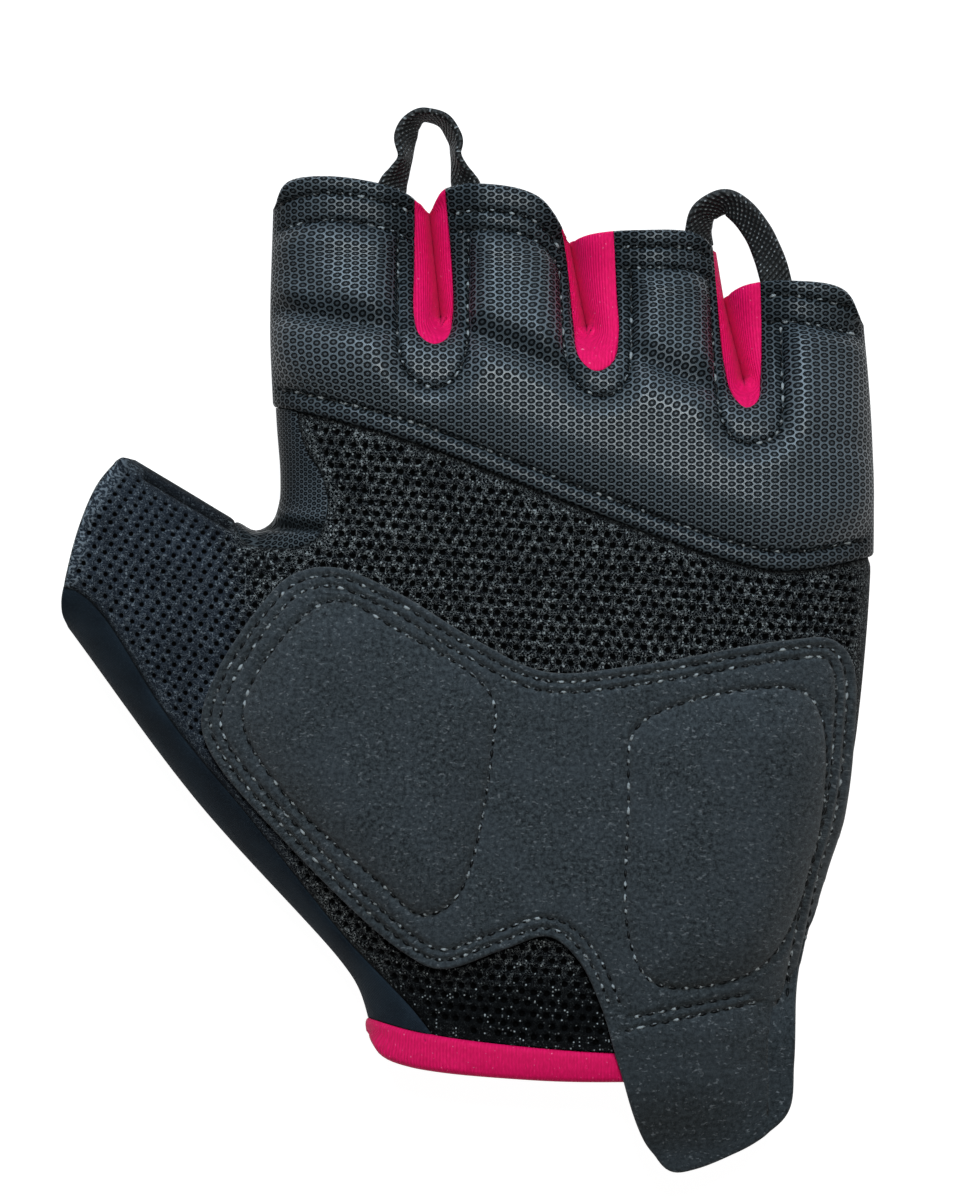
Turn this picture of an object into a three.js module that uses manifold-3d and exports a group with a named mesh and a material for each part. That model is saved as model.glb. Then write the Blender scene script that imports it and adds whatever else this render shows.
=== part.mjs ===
// A fingerless cycling glove for the left hand, filled as a hand fills it and lying on its back, palm up.
// Millimetres. X runs from the thumb to the little finger, Y from the wrist to the fingertips, Z up out of
// the palm. The origin is on the surface that the back lies on, under the middle of the glove.
import * as THREE from 'three';
import { mergeVertices } from 'three/addons/utils/BufferGeometryUtils.js';
import Module from 'manifold-3d';

const wasm = await Module();
wasm.setup();

// Cloth and gaps.
const wall = 1.3;
const gap = 0.3;
const slotWidth = 0.8;

// The filled hand form: the level of its side line above the back, the rise from there to the front,
// and how far in from the side line the front and the back are still round.
const palmForm = { side: 12, rise: 14, frontRound: 21, backRound: 8 };
const fingerForm = { side: 8.2, rise: 9.0, frontRound: 10.5, backRound: 6 };
const thumbForm = { side: 11, rise: 10.5, frontRound: 12, backRound: 7 };
const slotRound = { palm: 6.5, finger: 10, back: 5 };

// Seams, from the back up: the gussets start near the back, the palm side starts at the sides.
const gussetLevel = 3;
const seamLevel = 7;
const formTop = 60;

// How the palm turns into the fingers and the thumb: where it starts and over what length.
const fingerBlend = { below: 9, length: 20 };
const thumbBlend = { inside: 8, length: 26 };

// Open ends are drawn out this far past the cloth when the inside is cut away.
const openReach = 3;
const openWays = { finger: [0, 1], wrist: [0, -1], thumb: [-0.94, 0.35] };

// Mesh density: segments across a finger, along a finger, across and along the thumb, and palm rows.
const fingerColumns = 6;
const fingerRows = 4;
const thumbRows = 5;
const thumbColumns = 8;
const crotchRows = 6;
const wristRows = 2;

// How far points gather at the ends of a row, and how the palm's columns and rows follow its borders.
const gathering = { wrist: 0.55, thumb: 0.6 };
const palmSpread = { columns: 1.6, topBend: 2, lowBend: 10 };

// Plan points closer than this are one point, and so are corners of a solid.
const samePlace = 0.001;
const sameCorner = 0.0001;

// Overlay on the heel of the hand, its foam pads and its pull tab.
const heelCloth = 1.4;
const padRise = 2.4;
const padRoll = 6;
const heelMargin = 7;
const tab = { left: 16.7, low: -84.2, level: 21, bend: 1.4, lean: 1.5, rows: 4 };

// Binding round the cuff stands proud of the cloth on both faces.
const bindingProud = 0.45;
const overBinding = { start: 6, length: 3.5, clear: 0.15 };

// Webbing of the pull loops.
const webbing = { width: 4.8, thickness: 1.0, steps: 22 };

// Fingers, from the thumb outwards: the rim of each open end, from corner to corner.
const fingers = [
  { left: [-29.8, 67.2], shoulder: [-28.0, 70.8], crown: [-21.3, 71.9], fall: [-10.5, 69.8],
    right: [-6.2, 66.9] },
  { left: [-5.4, 66.9], shoulder: [-3.3, 69.9], crown: [3.5, 70.7], fall: [11.0, 68.7],
    right: [15.5, 62.6] },
  { left: [16.3, 61.2], shoulder: [19.0, 63.0], crown: [26.7, 63.6], fall: [35.3, 63.1],
    right: [38.6, 60.7] },
  { left: [40.2, 53.6], shoulder: [42.5, 55.0], crown: [49.5, 55.8], fall: [58.2, 54.3],
    right: [61.2, 49.3] },
];

// Slots between the fingers: the web at the foot, and the line that the two fingers meet on.
// The gusset outline is a U: its left and right edges at the top and above the bend, and its lowest point.
const slots = [
  { web: [-4.1, 49.5], top: [-5.8, 66.9], leftTop: [-8.1, 74], left: [-8.2, 51.5], low: [-5.1, 45.4],
    right: [-2.0, 51.5], rightTop: [-2.8, 74], name: 'gusset_index_middle' },
  { web: [18.5, 48.1], top: [15.9, 62.0], leftTop: [13.9, 70], left: [16.0, 47.5], low: [19.7, 41.5],
    right: [23.2, 47.5], rightTop: [22.6, 70], name: 'gusset_middle_ring' },
  { web: [42.9, 39.9], top: [39.8, 53.4], leftTop: [36.6, 70], left: [39.2, 43.5], low: [42.9, 36.0],
    right: [45.4, 43.0], rightTop: [45.3, 70], name: 'gusset_ring_little' },
];

// Outline of the palm and thumb, seen from the front.
const indexSide = [[-30.2, 48.9], [-29.6, 34.1], [-29.2, 25.5], [-30.2, 19.6], [-32.8, 17.2]];
const littleSide = [[62.1, 36.5], [62.7, 21.7], [62.5, 9.0], [61.0, -9.3], [59.9, -18.6], [57.8, -26.5],
  [54.9, -35.5], [50.9, -46.0], [48.9, -54.0], [48.3, -65.8]];
const thumbTopSide = [[-32.8, 17.2], [-35.6, 18.5], [-43.8, 23.3], [-52.8, 28.2]];
const thumbEnd = [[-52.8, 28.2], [-57.0, 24.5], [-60.2, 17.5], [-62.8, 8.5], [-62.6, 3.6]];
const thumbLowSide = [[-62.6, 3.6], [-41.8, -24.6], [-19.3, -49.6]];
const wristSide = [[-19.3, -49.6], [-16.6, -53.8], [-15.3, -58.9], [-15.0, -61.3]];
const wristEnd = [[-15.0, -61.3], [-13.2, -64.2], [-9.0, -66.0], [9.8, -68.1], [23.6, -68.6], [39.1, -67.8],
  [48.3, -65.8]];

// Seams on the palm side. Each runs past the outline at both ends.
const leatherHem = [[-36.0, 37.0], [-28.4, 35.7], [-9.1, 30.7], [16.0, 21.0], [41.0, 12.0], [50.0, 10.7],
  [70.0, 14.5]];
const crotchSeam = [[-27.4, 38.0], [-25.3, 29.9], [-22.4, 25.0], [-21.7, 20.0], [-23.8, 15.3], [-29.0, 14.3],
  [-34.5, 15.6], [-37.0, 23.0]];
const backSeam = [[-68.0, 8.6], [-60.5, 7.5], [-56.3, 3.8], [-46.4, -11.9], [-31.5, -30.2], [-18.7, -46.5],
  [-7.8, -57.9], [-1.0, -67.0]];
const bindingSeam = [[-22.0, -57.5], [-15.0, -59.0], [-8.0, -60.6], [4.0, -62.4], [26.7, -64.2], [39.1, -63.7],
  [60.0, -61.0]];

// Outline of the heel overlay: across the top, down the little-finger side, round the tab and back.
const heelOutline = [[-40.5, -12.0], [-38.2, -4.9], [-31.5, 5.0], [-26.5, 9.6], [-20.1, 10.9], [-10.9, 7.3],
  [0.9, 0.2], [11.9, -4.9], [25.7, -4.0], [49.4, 0.0], [55.5, 0.1], [58.3, -3.2], [58.5, -16.6],
  [56.5, -30.5], [51.2, -50.2], [50.6, -63.8], [49.4, -73.4], [45.8, -76.7], [34.5, -82.2], [31.0, -82.0],
  [27.6, -78.2], [23.3, -65.1], [20.7, -56.4], [17.0, -48.9], [12.5, -45.4], [5.5, -47.4], [-3.8, -50.3],
  [-9.4, -47.6], [-28.8, -29.1], [-39.0, -17.0]];
const leftPad = [[-20.0, 6.0], [-28.0, 0.5], [-34.2, -11.5], [-28.8, -22.0], [-13.7, -36.5], [-6.5, -42.1],
  [-1.5, -39.3], [3.8, -17.0], [3.6, -8.3], [-10.9, 1.7]];
const rightPad = [[25.6, -14.0], [31.5, -10.2], [50.6, -7.6], [54.0, -12.0], [52.8, -32.5], [44.6, -50.0],
  [29.0, -52.8], [25.0, -46.3], [24.8, -25.0]];

// Foam pads under the leather: middle, half width, half height and rise.
const leatherPads = [
  { x: -18.9, y: 58.5, halfWidth: 9.5, halfHeight: 7.5, rise: 1.2 },
  { x: 5.9, y: 56.5, halfWidth: 8.5, halfHeight: 8.5, rise: 1.2 },
  { x: 30.0, y: 50.5, halfWidth: 7.5, halfHeight: 9.0, rise: 1.2 },
  { x: 53.3, y: 42.5, halfWidth: 7.0, halfHeight: 8.5, rise: 1.0 },
];
const leatherPadEdge = 1.2;
const transversePad = {
  top: [[-30, 46.5], [0, 41.5], [30, 34.5], [62, 27]],
  rise: 1.5,
  roll: 5,
  hem: 1.5,
  side: 2,
};

// Pull loops: the middle line of the webbing, and its turn from flat (0) to on edge (90 degrees).
const loops = [
  { name: 'pull_loop_index_middle', stations: [
    { x: -11.9, y: 70.7, z: 15.4, turn: 0 },
    { x: -10.3, y: 74.2, z: 15.4, turn: 40 },
    { x: -9.8, y: 78.2, z: 15.4, turn: 62 },
    { x: -8.0, y: 81.3, z: 15.4, turn: 66 },
    { x: -5.0, y: 81.6, z: 15.4, turn: 62 },
    { x: -2.2, y: 79.4, z: 15.4, turn: 74 },
    { x: -1.7, y: 75.2, z: 15.4, turn: 70 },
    { x: 0.2, y: 71.3, z: 15.4, turn: 0 },
  ] },
  { name: 'pull_loop_ring_little', stations: [
    { x: 36.0, y: 63.4, z: 14.2, turn: 20 },
    { x: 37.2, y: 66.3, z: 15.4, turn: 12 },
    { x: 39.9, y: 67.4, z: 16.2, turn: 8 },
    { x: 42.9, y: 65.7, z: 16.6, turn: 5 },
    { x: 45.3, y: 62.1, z: 16.6, turn: 5 },
    { x: 47.6, y: 56.4, z: 16.6, turn: 0 },
  ] },
];

// Number helpers.
const mix = (a, b, t) => a + (b - a) * t;
const clamp = (t) => Math.min(1, Math.max(0, t));
const ease = (t) => clamp(t) ** 2 * (3 - 2 * clamp(t));
const roundOver = (t) => Math.sqrt(1 - (1 - clamp(t)) ** 2);
const clustered = (t) => (1 - Math.cos(Math.PI * t)) / 2;

// A smooth plan curve through a few points.
function smooth(points) {
  const path = points.map(([x, y]) => new THREE.Vector3(x, y, 0));
  return new THREE.CatmullRomCurve3(path, false, 'centripetal');
}

// A smooth curve as plan points, at equal steps.
function trace(points, steps) {
  return smooth(points).getSpacedPoints(steps).map((p) => [p.x, p.y]);
}

// A smooth closed outline as plan points.
function traceLoop(points, steps) {
  const path = points.map(([x, y]) => new THREE.Vector3(x, y, 0));
  const curve = new THREE.CatmullRomCurve3(path, true, 'centripetal');
  return curve.getSpacedPoints(steps).slice(0, steps).map((p) => [p.x, p.y]);
}

// The height of a seam or row at one place across the hand.
function heightAt(line, x) {
  const after = Math.min(line.length - 1, Math.max(1, line.findIndex(([px]) => px > x)));
  const [[x0, y0], [x1, y1]] = [line[after - 1], line[after]];
  return mix(y0, y1, clamp((x - x0) / (x1 - x0)));
}

function distanceToLine(x, y, line) {
  let best = Infinity;
  for (let i = 1; i < line.length; i += 1) {
    const [ax, ay] = line[i - 1];
    const [bx, by] = line[i];
    const along = clamp(((x - ax) * (bx - ax) + (y - ay) * (by - ay)) / ((bx - ax) ** 2 + (by - ay) ** 2));
    best = Math.min(best, Math.hypot(x - mix(ax, bx, along), y - mix(ay, by, along)));
  }
  return best;
}

function insideOutline(x, y, outline) {
  let inside = false;
  outline.forEach(([ax, ay], i) => {
    const [bx, by] = outline[(i + 1) % outline.length];
    if ((ay > y) !== (by > y) && x < mix(ax, bx, (y - ay) / (by - ay))) inside = !inside;
  });
  return inside;
}

// Move an open line, or a closed outline, sideways in plan: to its right when the distance is positive.
function sideways(line, distance, closed) {
  return line.map(([x, y], i) => {
    const last = line.length - 1;
    const before = line[closed ? (i + last) % line.length : Math.max(0, i - 1)];
    const after = line[closed ? (i + 1) % line.length : Math.min(last, i + 1)];
    const across = new THREE.Vector2(after[1] - before[1], before[0] - after[0]).normalize();
    return [x + across.x * distance, y + across.y * distance];
  });
}

// Lines where the front and the back meet, and lines between the fingers.
const sideLines = [
  trace([fingers[0].left, ...indexSide], 24),
  trace(thumbTopSide, 8),
  trace([...thumbLowSide, ...wristSide.slice(1)], 24),
  trace([fingers[3].right, ...littleSide], 32),
];
const slotLines = [
  [slots[0].web, slots[0].top],
  [slots[1].web, slots[1].top],
  [slots[2].web, slots[2].top, fingers[2].right],
];
const webLine = [[-30, 49.5], slots[0].web, slots[1].web, slots[2].web, [62, 36.5]];
const thumbBase = [thumbTopSide[0], thumbLowSide[2]];

// Share of finger and of thumb in the form at one place of the plan.
function formAt(x, y) {
  const finger = ease((y - heightAt(webLine, x) + fingerBlend.below) / fingerBlend.length);
  const [[topX, topY], [lowX, lowY]] = thumbBase;
  const baseX = mix(topX, lowX, clamp((topY - y) / (topY - lowY)));
  const thumb = ease((baseX - x + thumbBlend.inside) / thumbBlend.length) * (1 - finger);
  const blend = (key) => mix(mix(palmForm[key], thumbForm[key], thumb), fingerForm[key], finger);
  return {
    side: blend('side'),
    rise: blend('rise'),
    frontRound: blend('frontRound'),
    backRound: blend('backRound'),
    slotRound: mix(slotRound.palm, slotRound.finger, finger),
  };
}

// Front and back heights of the filled form.
function heights(x, y, onEdge) {
  const form = formAt(x, y);
  const side = onEdge ? 0 : Math.min(...sideLines.map((line) => distanceToLine(x, y, line)));
  const slot = onEdge ? 0 : Math.min(...slotLines.map((line) => distanceToLine(x, y, line) - slotWidth / 2));
  const front = roundOver(side / form.frontRound) * roundOver(slot / form.slotRound);
  const back = roundOver(side / form.backRound) * roundOver(slot / slotRound.back);
  return { front: form.side + form.rise * front, back: form.side * (1 - back) };
}

// How far the foam under the leather lifts the outer face.
function leatherRelief(x, y) {
  const pads = leatherPads.map((pad) => {
    const out = ((x - pad.x) / pad.halfWidth) ** 4 + ((y - pad.y) / pad.halfHeight) ** 4;
    return pad.rise * ease(leatherPadEdge * (1 - out));
  });
  const belowTop = heightAt(transversePad.top, x) - y;
  const aboveHem = y - heightAt(leatherHem, x) - transversePad.hem;
  const fromSide = Math.min(...sideLines.map((line) => distanceToLine(x, y, line))) - transversePad.side;
  const band = Math.min(belowTop, aboveHem, fromSide) / transversePad.roll;
  return Math.max(...pads, transversePad.rise * ease(band));
}

// How far the foam pads lift the heel overlay.
function heelRelief(x, y) {
  return Math.max(...[leftPad, rightPad].map((outline) => {
    const closed = [...outline, outline[0]];
    return insideOutline(x, y, outline) ? padRise * roundOver(distanceToLine(x, y, closed) / padRoll) : 0;
  }));
}

// The plan of the glove: points shared between blocks, and four-sided cells.
class Plan {
  constructor() {
    this.points = [];
    this.cells = [];
    this.places = new Map();
  }

  // open is the direction that an open end faces; edge marks a point on the side line.
  point([x, y], edge, open) {
    const key = [x, y].map((value) => Math.floor(value / samePlace + 0.623)).join(' ');
    if (!this.places.has(key)) {
      this.places.set(key, this.points.length);
      this.points.push({ x, y, edge: false, open: null });
    }
    const index = this.places.get(key);
    const found = this.points[index];
    found.edge ||= edge;
    found.open ??= open;
    return index;
  }

  // rows is a grid of point numbers, each row running so that the next row lies to its right.
  addGrid(rows) {
    for (let r = 1; r < rows.length; r += 1) {
      for (let c = 1; c < rows[r].length; c += 1) {
        this.cells.push([rows[r][c - 1], rows[r][c], rows[r - 1][c], rows[r - 1][c - 1]]);
      }
    }
  }
}

// A grid of plan points between four lines of points, first and last of which are shared.
function coons(top, low, left, right) {
  const rowCount = left.length - 1;
  const columnCount = top.length - 1;
  return left.map((leftPoint, r) => top.map((topPoint, c) => {
    const v = r / rowCount;
    const u = c / columnCount;
    return [0, 1].map((axis) => {
      const across = mix(topPoint[axis], low[c][axis], v) + mix(leftPoint[axis], right[r][axis], u);
      const corners = mix(mix(top[0][axis], top[columnCount][axis], u),
        mix(low[0][axis], low[columnCount][axis], u), v);
      return across - corners;
    });
  }));
}

// Points of a smooth line at given shares of its length.
function stationsOn(points, shares) {
  const curve = smooth(points);
  return shares.map((share) => {
    const p = curve.getPointAt(share);
    return [p.x, p.y];
  });
}

const steps = (count, spacing = (t) => t) => Array.from({ length: count + 1 }, (_, i) => spacing(i / count));

// Foot of each finger, on the row through the webs.
const half = slotWidth / 2;
const feet = fingers.map((finger, i) => ({
  left: i === 0 ? indexSide[0] : [slots[i - 1].web[0] + half, slots[i - 1].web[1]],
  right: i === 3 ? littleSide[0] : [slots[i].web[0] - half, slots[i].web[1]],
}));

function buildPlan() {
  const plan = new Plan();
  const across = steps(fingerColumns, clustered);

  // Fingers
  fingers.forEach((finger, i) => {
    const foot = feet[i];
    const rim = stationsOn([finger.left, finger.shoulder, finger.crown, finger.fall, finger.right], across);
    const base = across.map((u) => [mix(foot.left[0], foot.right[0], u), mix(foot.left[1], foot.right[1], u)]);
    const leftLine = stationsOn([finger.left, foot.left], steps(fingerRows));
    const rightVia = i === 2 ? [[slots[2].top[0] - half, slots[2].top[1]]] : [];
    const rightLine = stationsOn([finger.right, ...rightVia, foot.right], steps(fingerRows));
    const grid = coons(rim, base, leftLine, rightLine);
    plan.addGrid(grid.map((row, r) => row.map((p, c) => {
      const edge = c === 0 || c === fingerColumns;
      return plan.point(p, edge, r === 0 ? openWays.finger : null);
    })));
  });

  // Palm
  const topRow = feet.flatMap((foot) => across.map((u) => [mix(foot.left[0], foot.right[0], u),
    mix(foot.left[1], foot.right[1], u)]));
  const columns = topRow.length - 1;
  const lowRow = stationsOn(wristEnd, steps(columns, (t) => mix(t, clustered(t), gathering.wrist)));
  const baseLine = steps(thumbColumns, (t) => mix(t, clustered(t), gathering.thumb)).map((v) => [
    mix(thumbBase[0][0], thumbBase[1][0], v), mix(thumbBase[0][1], thumbBase[1][1], v)]);
  const leftLine = [
    ...stationsOn(indexSide, steps(crotchRows, clustered)).slice(0, -1),
    ...baseLine,
    ...stationsOn(wristSide, steps(wristRows)).slice(1),
  ];
  const drop = (p) => (leftLine[0][1] - p[1]) / (leftLine[0][1] - leftLine[leftLine.length - 1][1]);
  const rightLine = stationsOn(littleSide, leftLine.map((p) => clamp(drop(p))));
  const rows = leftLine.length - 1;
  const palm = palmGrid(topRow, lowRow, leftLine, rightLine, drop);
  const onBase = (r) => r > crotchRows && r < crotchRows + thumbColumns;
  const onWeb = (c) => c % (fingerColumns + 1) === 0 || c % (fingerColumns + 1) === fingerColumns;
  const palmIndex = palm.map((row, r) => row.map((p, c) => {
    const edge = c === columns || (c === 0 && !onBase(r)) || (r === 0 && onWeb(c));
    return plan.point(p, edge, r === rows ? openWays.wrist : null);
  }));
  plan.addGrid(palmIndex);

  // Thumb: rows run from the open end to the base line, columns from the crotch to the wrist side.
  const along = steps(thumbRows);
  const end = stationsOn(thumbEnd, steps(thumbColumns, clustered));
  const topSide = stationsOn([...thumbTopSide].reverse(), along);
  const lowSide = stationsOn(thumbLowSide, along);
  const thumb = coons(end, baseLine, topSide, lowSide);
  plan.addGrid(thumb.map((row, r) => row.map((p, c) => {
    const edge = c === 0 || c === thumbColumns;
    return plan.point(p, edge, r === 0 ? openWays.thumb : null);
  })));

  plan.wristRow = palmIndex[rows];
  return plan;
}

// The palm block: rows follow the side lines, and the columns spread out evenly towards the wrist.
function palmGrid(topRow, lowRow, leftLine, rightLine, drop) {
  const columns = topRow.length - 1;
  return leftLine.map((leftPoint, r) => {
    const v = clamp(drop(leftPoint));
    const rightPoint = rightLine[r];
    return topRow.map((topPoint, c) => {
      const topShare = (topPoint[0] - topRow[0][0]) / (topRow[columns][0] - topRow[0][0]);
      const lowShare = (lowRow[c][0] - lowRow[0][0]) / (lowRow[columns][0] - lowRow[0][0]);
      const u = mix(topShare, lowShare, ease(v * palmSpread.columns));
      const topY = topPoint[1] - mix(topRow[0][1], topRow[columns][1], topShare);
      const lowY = lowRow[c][1] - mix(lowRow[0][1], lowRow[columns][1], lowShare);
      const bend = topY * (1 - ease(v * palmSpread.topBend)) + lowY * v ** palmSpread.lowBend;
      return [mix(leftPoint[0], rightPoint[0], u), mix(leftPoint[1], rightPoint[1], u) + bend];
    });
  });
}

const plan = buildPlan();

// Cells listed anticlockwise seen from the front.
plan.cells = plan.cells.map((cell) => {
  const area = cell.reduce((sum, p, i) => {
    const a = plan.points[p];
    const b = plan.points[cell[(i + 1) % 4]];
    return sum + a.x * b.y - b.x * a.y;
  }, 0);
  return area < 0 ? [...cell].reverse() : cell;
});

// Edges that only one cell uses, in that cell's direction.
function rimEdges(cells) {
  const edges = new Map();
  cells.forEach((cell) => {
    cell.forEach((a, i) => {
      const b = cell[(i + 1) % 4];
      edges.set(`${a} ${b}`, [a, b]);
    });
  });
  return [...edges.values()].filter(([a, b]) => !edges.has(`${b} ${a}`));
}

// Front and back points of the form, and the direction outwards at each.
plan.points.forEach((p) => {
  const { front, back } = heights(p.x, p.y, p.edge);
  p.front = new THREE.Vector3(p.x, p.y, front);
  p.back = new THREE.Vector3(p.x, p.y, back);
  p.frontOut = new THREE.Vector3();
  p.backOut = new THREE.Vector3();
});
plan.cells.forEach((cell) => {
  const addSide = (place, out, sign) => {
    const [a, b, c, d] = cell.map((i) => plan.points[i][place]);
    const normal = new THREE.Vector3().crossVectors(c.clone().sub(a), d.clone().sub(b)).normalize();
    cell.forEach((i) => plan.points[i][out].addScaledVector(normal, sign));
  };
  addSide('front', 'frontOut', 1);
  addSide('back', 'backOut', -1);
});
plan.points.forEach((p) => {
  if (p.edge) {
    p.frontOut.add(p.backOut);
    p.backOut.copy(p.frontOut);
  }
  p.frontOut.normalize();
  p.backOut.normalize();
});

// A solid from triangles given as points.
function solidFrom(triangles) {
  const geometry = new THREE.BufferGeometry();
  const places = triangles.flatMap((p) => [p.x, p.y, p.z]);
  geometry.setAttribute('position', new THREE.Float32BufferAttribute(places, 3));
  return solidFromGeometry(geometry);
}

function solidFromGeometry(source) {
  source.deleteAttribute('normal');
  source.deleteAttribute('uv');
  const merged = mergeVertices(source, sameCorner);
  const kept = [];
  const index = merged.index.array;
  for (let i = 0; i < index.length; i += 3) {
    const [a, b, c] = [index[i], index[i + 1], index[i + 2]];
    if (a !== b && b !== c && c !== a) kept.push(a, b, c);
  }
  return new wasm.Manifold(new wasm.Mesh({
    numProp: 3,
    vertProperties: merged.attributes.position.array,
    triVerts: Uint32Array.from(kept),
  }));
}

// The whole form, moved outwards by offset, with its open ends drawn out by reach.
function handForm(offset, reach, relief) {
  const placed = (p, side) => {
    const out = side === 'front' ? p.frontOut : p.backOut;
    const lift = side === 'front' && relief && !p.edge ? relief(p.x, p.y) : 0;
    const place = p[side].clone().addScaledVector(out, offset + lift);
    if (p.open) place.add(new THREE.Vector3(p.open[0] * reach, p.open[1] * reach, 0));
    return place;
  };
  const front = plan.points.map((p) => placed(p, 'front'));
  const back = plan.points.map((p) => (p.edge ? placed(p, 'front') : placed(p, 'back')));
  const triangles = [];
  plan.cells.forEach(([a, b, c, d]) => {
    triangles.push(front[a], front[b], front[c], front[a], front[c], front[d]);
    triangles.push(back[a], back[c], back[b], back[a], back[d], back[c]);
  });
  rimEdges(plan.cells).forEach(([a, b]) => {
    triangles.push(front[b], front[a], back[a], front[b], back[a], back[b]);
  });
  return solidFrom(triangles);
}

// A straight-sided block over a plan outline.
function prism(outline, low, high) {
  const shape = new THREE.Shape(outline.map(([x, y]) => new THREE.Vector2(x, y)));
  const settings = { depth: high - low, bevelEnabled: false, curveSegments: 1 };
  const geometry = new THREE.ExtrudeGeometry(shape, settings);
  geometry.translate(0, 0, low);
  return solidFromGeometry(geometry);
}

// A thin cut along a seam.
function seamCut(line, width, low) {
  const left = sideways(line, -width / 2, false);
  const right = sideways(line, width / 2, false).reverse();
  return prism([...left, ...right], low, formTop);
}

// The largest body of a solid, so that no crumb of a cut is left.
function whole(solid) {
  return solid.decompose().sort((a, b) => b.volume() - a.volume())[0];
}

// Regions of the palm side, as blocks over the plan.
const hemLine = trace(leatherHem, 20);
const crotchLine = trace(crotchSeam, 14);
const backLine = trace(backSeam, 18);
const bindingLine = trace(bindingSeam, 12);
const far = 90;
const below = -5;
const crotchCorner = [crotchSeam[crotchSeam.length - 1][0], crotchSeam[0][1]];
const underLine = (line, low) => prism([...line, [far, line[line.length - 1][1]], [far, -far], [-far, -far],
  [-far, line[0][1]]], low, formTop);
const aboveHem = prism([...hemLine, [far, far], [-far, far]], below, formTop);
const crotchBlock = prism([...crotchLine, crotchCorner], gussetLevel - gap, formTop);
const frontBlock = prism([...backLine, [far, -far], [far, far], [-far, far], [-far, backSeam[0][1]]],
  seamLevel - gap, formTop);
const belowBinding = underLine(bindingLine, below);
const gussetOutlines = slots.map(({ leftTop, left, low, right, rightTop }) => (
  trace([leftTop, left, low, right, rightTop], 16)));
const grownGussets = gussetOutlines.map((outline) => (
  prism(sideways(outline, gap, false), gussetLevel - gap, formTop)));
const aboveLevel = (level) => prism([[-far, -far], [far, -far], [far, far], [-far, far]], level, formTop);

// Cloth of the glove without the cuff's binding.
const outerForm = handForm(0, 0, leatherRelief);
const cloth = outerForm.subtract(handForm(-wall, openReach, null));
const clothAboveBinding = cloth.subtract(belowBinding);
const cuts = [seamCut(hemLine, gap, seamLevel - gap), seamCut(crotchLine, gap, gussetLevel - gap)];
const withoutAll = (solid, tools) => tools.reduce((left, tool) => left.subtract(tool), solid);

function fingerPanel() {
  const front = clothAboveBinding.intersect(aboveLevel(seamLevel)).intersect(aboveHem);
  return whole(withoutAll(front, [...grownGussets, ...cuts]));
}

function crotchPatch() {
  const patch = clothAboveBinding.intersect(aboveLevel(gussetLevel)).intersect(crotchBlock).subtract(aboveHem);
  return whole(withoutAll(patch, cuts));
}

function palmMesh() {
  const front = clothAboveBinding.intersect(aboveLevel(seamLevel)).intersect(frontBlock);
  const trimmed = withoutAll(front, [aboveHem, crotchBlock, seamCut(backLine, 2 * gap, 0), ...cuts]);
  return whole(trimmed);
}

function backPanel() {
  const crotchTop = crotchBlock.subtract(aboveHem);
  return whole(withoutAll(clothAboveBinding, [frontBlock, crotchTop, ...grownGussets]));
}

function gusset(index) {
  const outline = prism(gussetOutlines[index], gussetLevel, formTop);
  return whole(clothAboveBinding.intersect(outline));
}

function cuffBinding() {
  const ring = handForm(bindingProud, 0, null).subtract(handForm(-wall - bindingProud, openReach, null));
  return whole(ring.intersect(underLine(sideways(bindingLine, gap, false), 0)));
}

// The heel overlay follows the palm, passes over the binding and runs out in a flat pull tab.
function heelPatch() {
  const outline = traceLoop(heelOutline, 96);
  const xs = outline.map(([x]) => x);
  const ys = outline.map(([, y]) => y);
  const near = (p) => p.x > Math.min(...xs) - heelMargin && p.x < Math.max(...xs) + heelMargin
    && p.y > Math.min(...ys) - heelMargin && p.y < Math.max(...ys) + heelMargin;
  const cells = plan.cells.filter((cell) => cell.every((i) => near(plan.points[i])));

  const base = plan.points.map((p) => ({ place: p.front.clone(), out: p.frontOut.clone(), x: p.x, y: p.y }));
  const start = plan.wristRow.filter((i) => plan.points[i].x > tab.left);
  const up = new THREE.Vector3(0, 0, 1);
  const rows = [start];
  for (let r = 1; r <= tab.rows; r += 1) {
    const t = r / tab.rows;
    rows.push(start.map((i) => {
      const from = plan.points[i];
      const level = mix(from.front.z, tab.level, ease(t * tab.bend));
      const x = from.x + t * tab.lean;
      const y = mix(from.y, tab.low, t);
      const out = from.frontOut.clone().lerp(up, ease(t * tab.bend)).normalize();
      base.push({ place: new THREE.Vector3(x, y, level), out, x, y });
      return base.length - 1;
    }));
  }
  const tabPlan = new Plan();
  tabPlan.addGrid(rows);
  cells.push(...tabPlan.cells);

  const under = base.map((p) => {
    const aboveBinding = p.y - heightAt(bindingSeam, p.x);
    const lift = ease((overBinding.start - aboveBinding) / overBinding.length);
    return p.place.clone().addScaledVector(p.out, gap + lift * (bindingProud + overBinding.clear));
  });
  const over = base.map((p, i) => under[i].clone().addScaledVector(p.out, heelCloth + heelRelief(p.x, p.y)));
  const triangles = [];
  cells.forEach(([a, b, c, d]) => {
    triangles.push(over[a], over[b], over[c], over[a], over[c], over[d]);
    triangles.push(under[a], under[c], under[b], under[a], under[d], under[c]);
  });
  rimEdges(cells).forEach(([a, b]) => {
    triangles.push(over[b], over[a], under[a], over[b], under[a], under[b]);
  });
  return whole(solidFrom(triangles).intersect(prism(outline, 0, formTop)));
}

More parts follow.
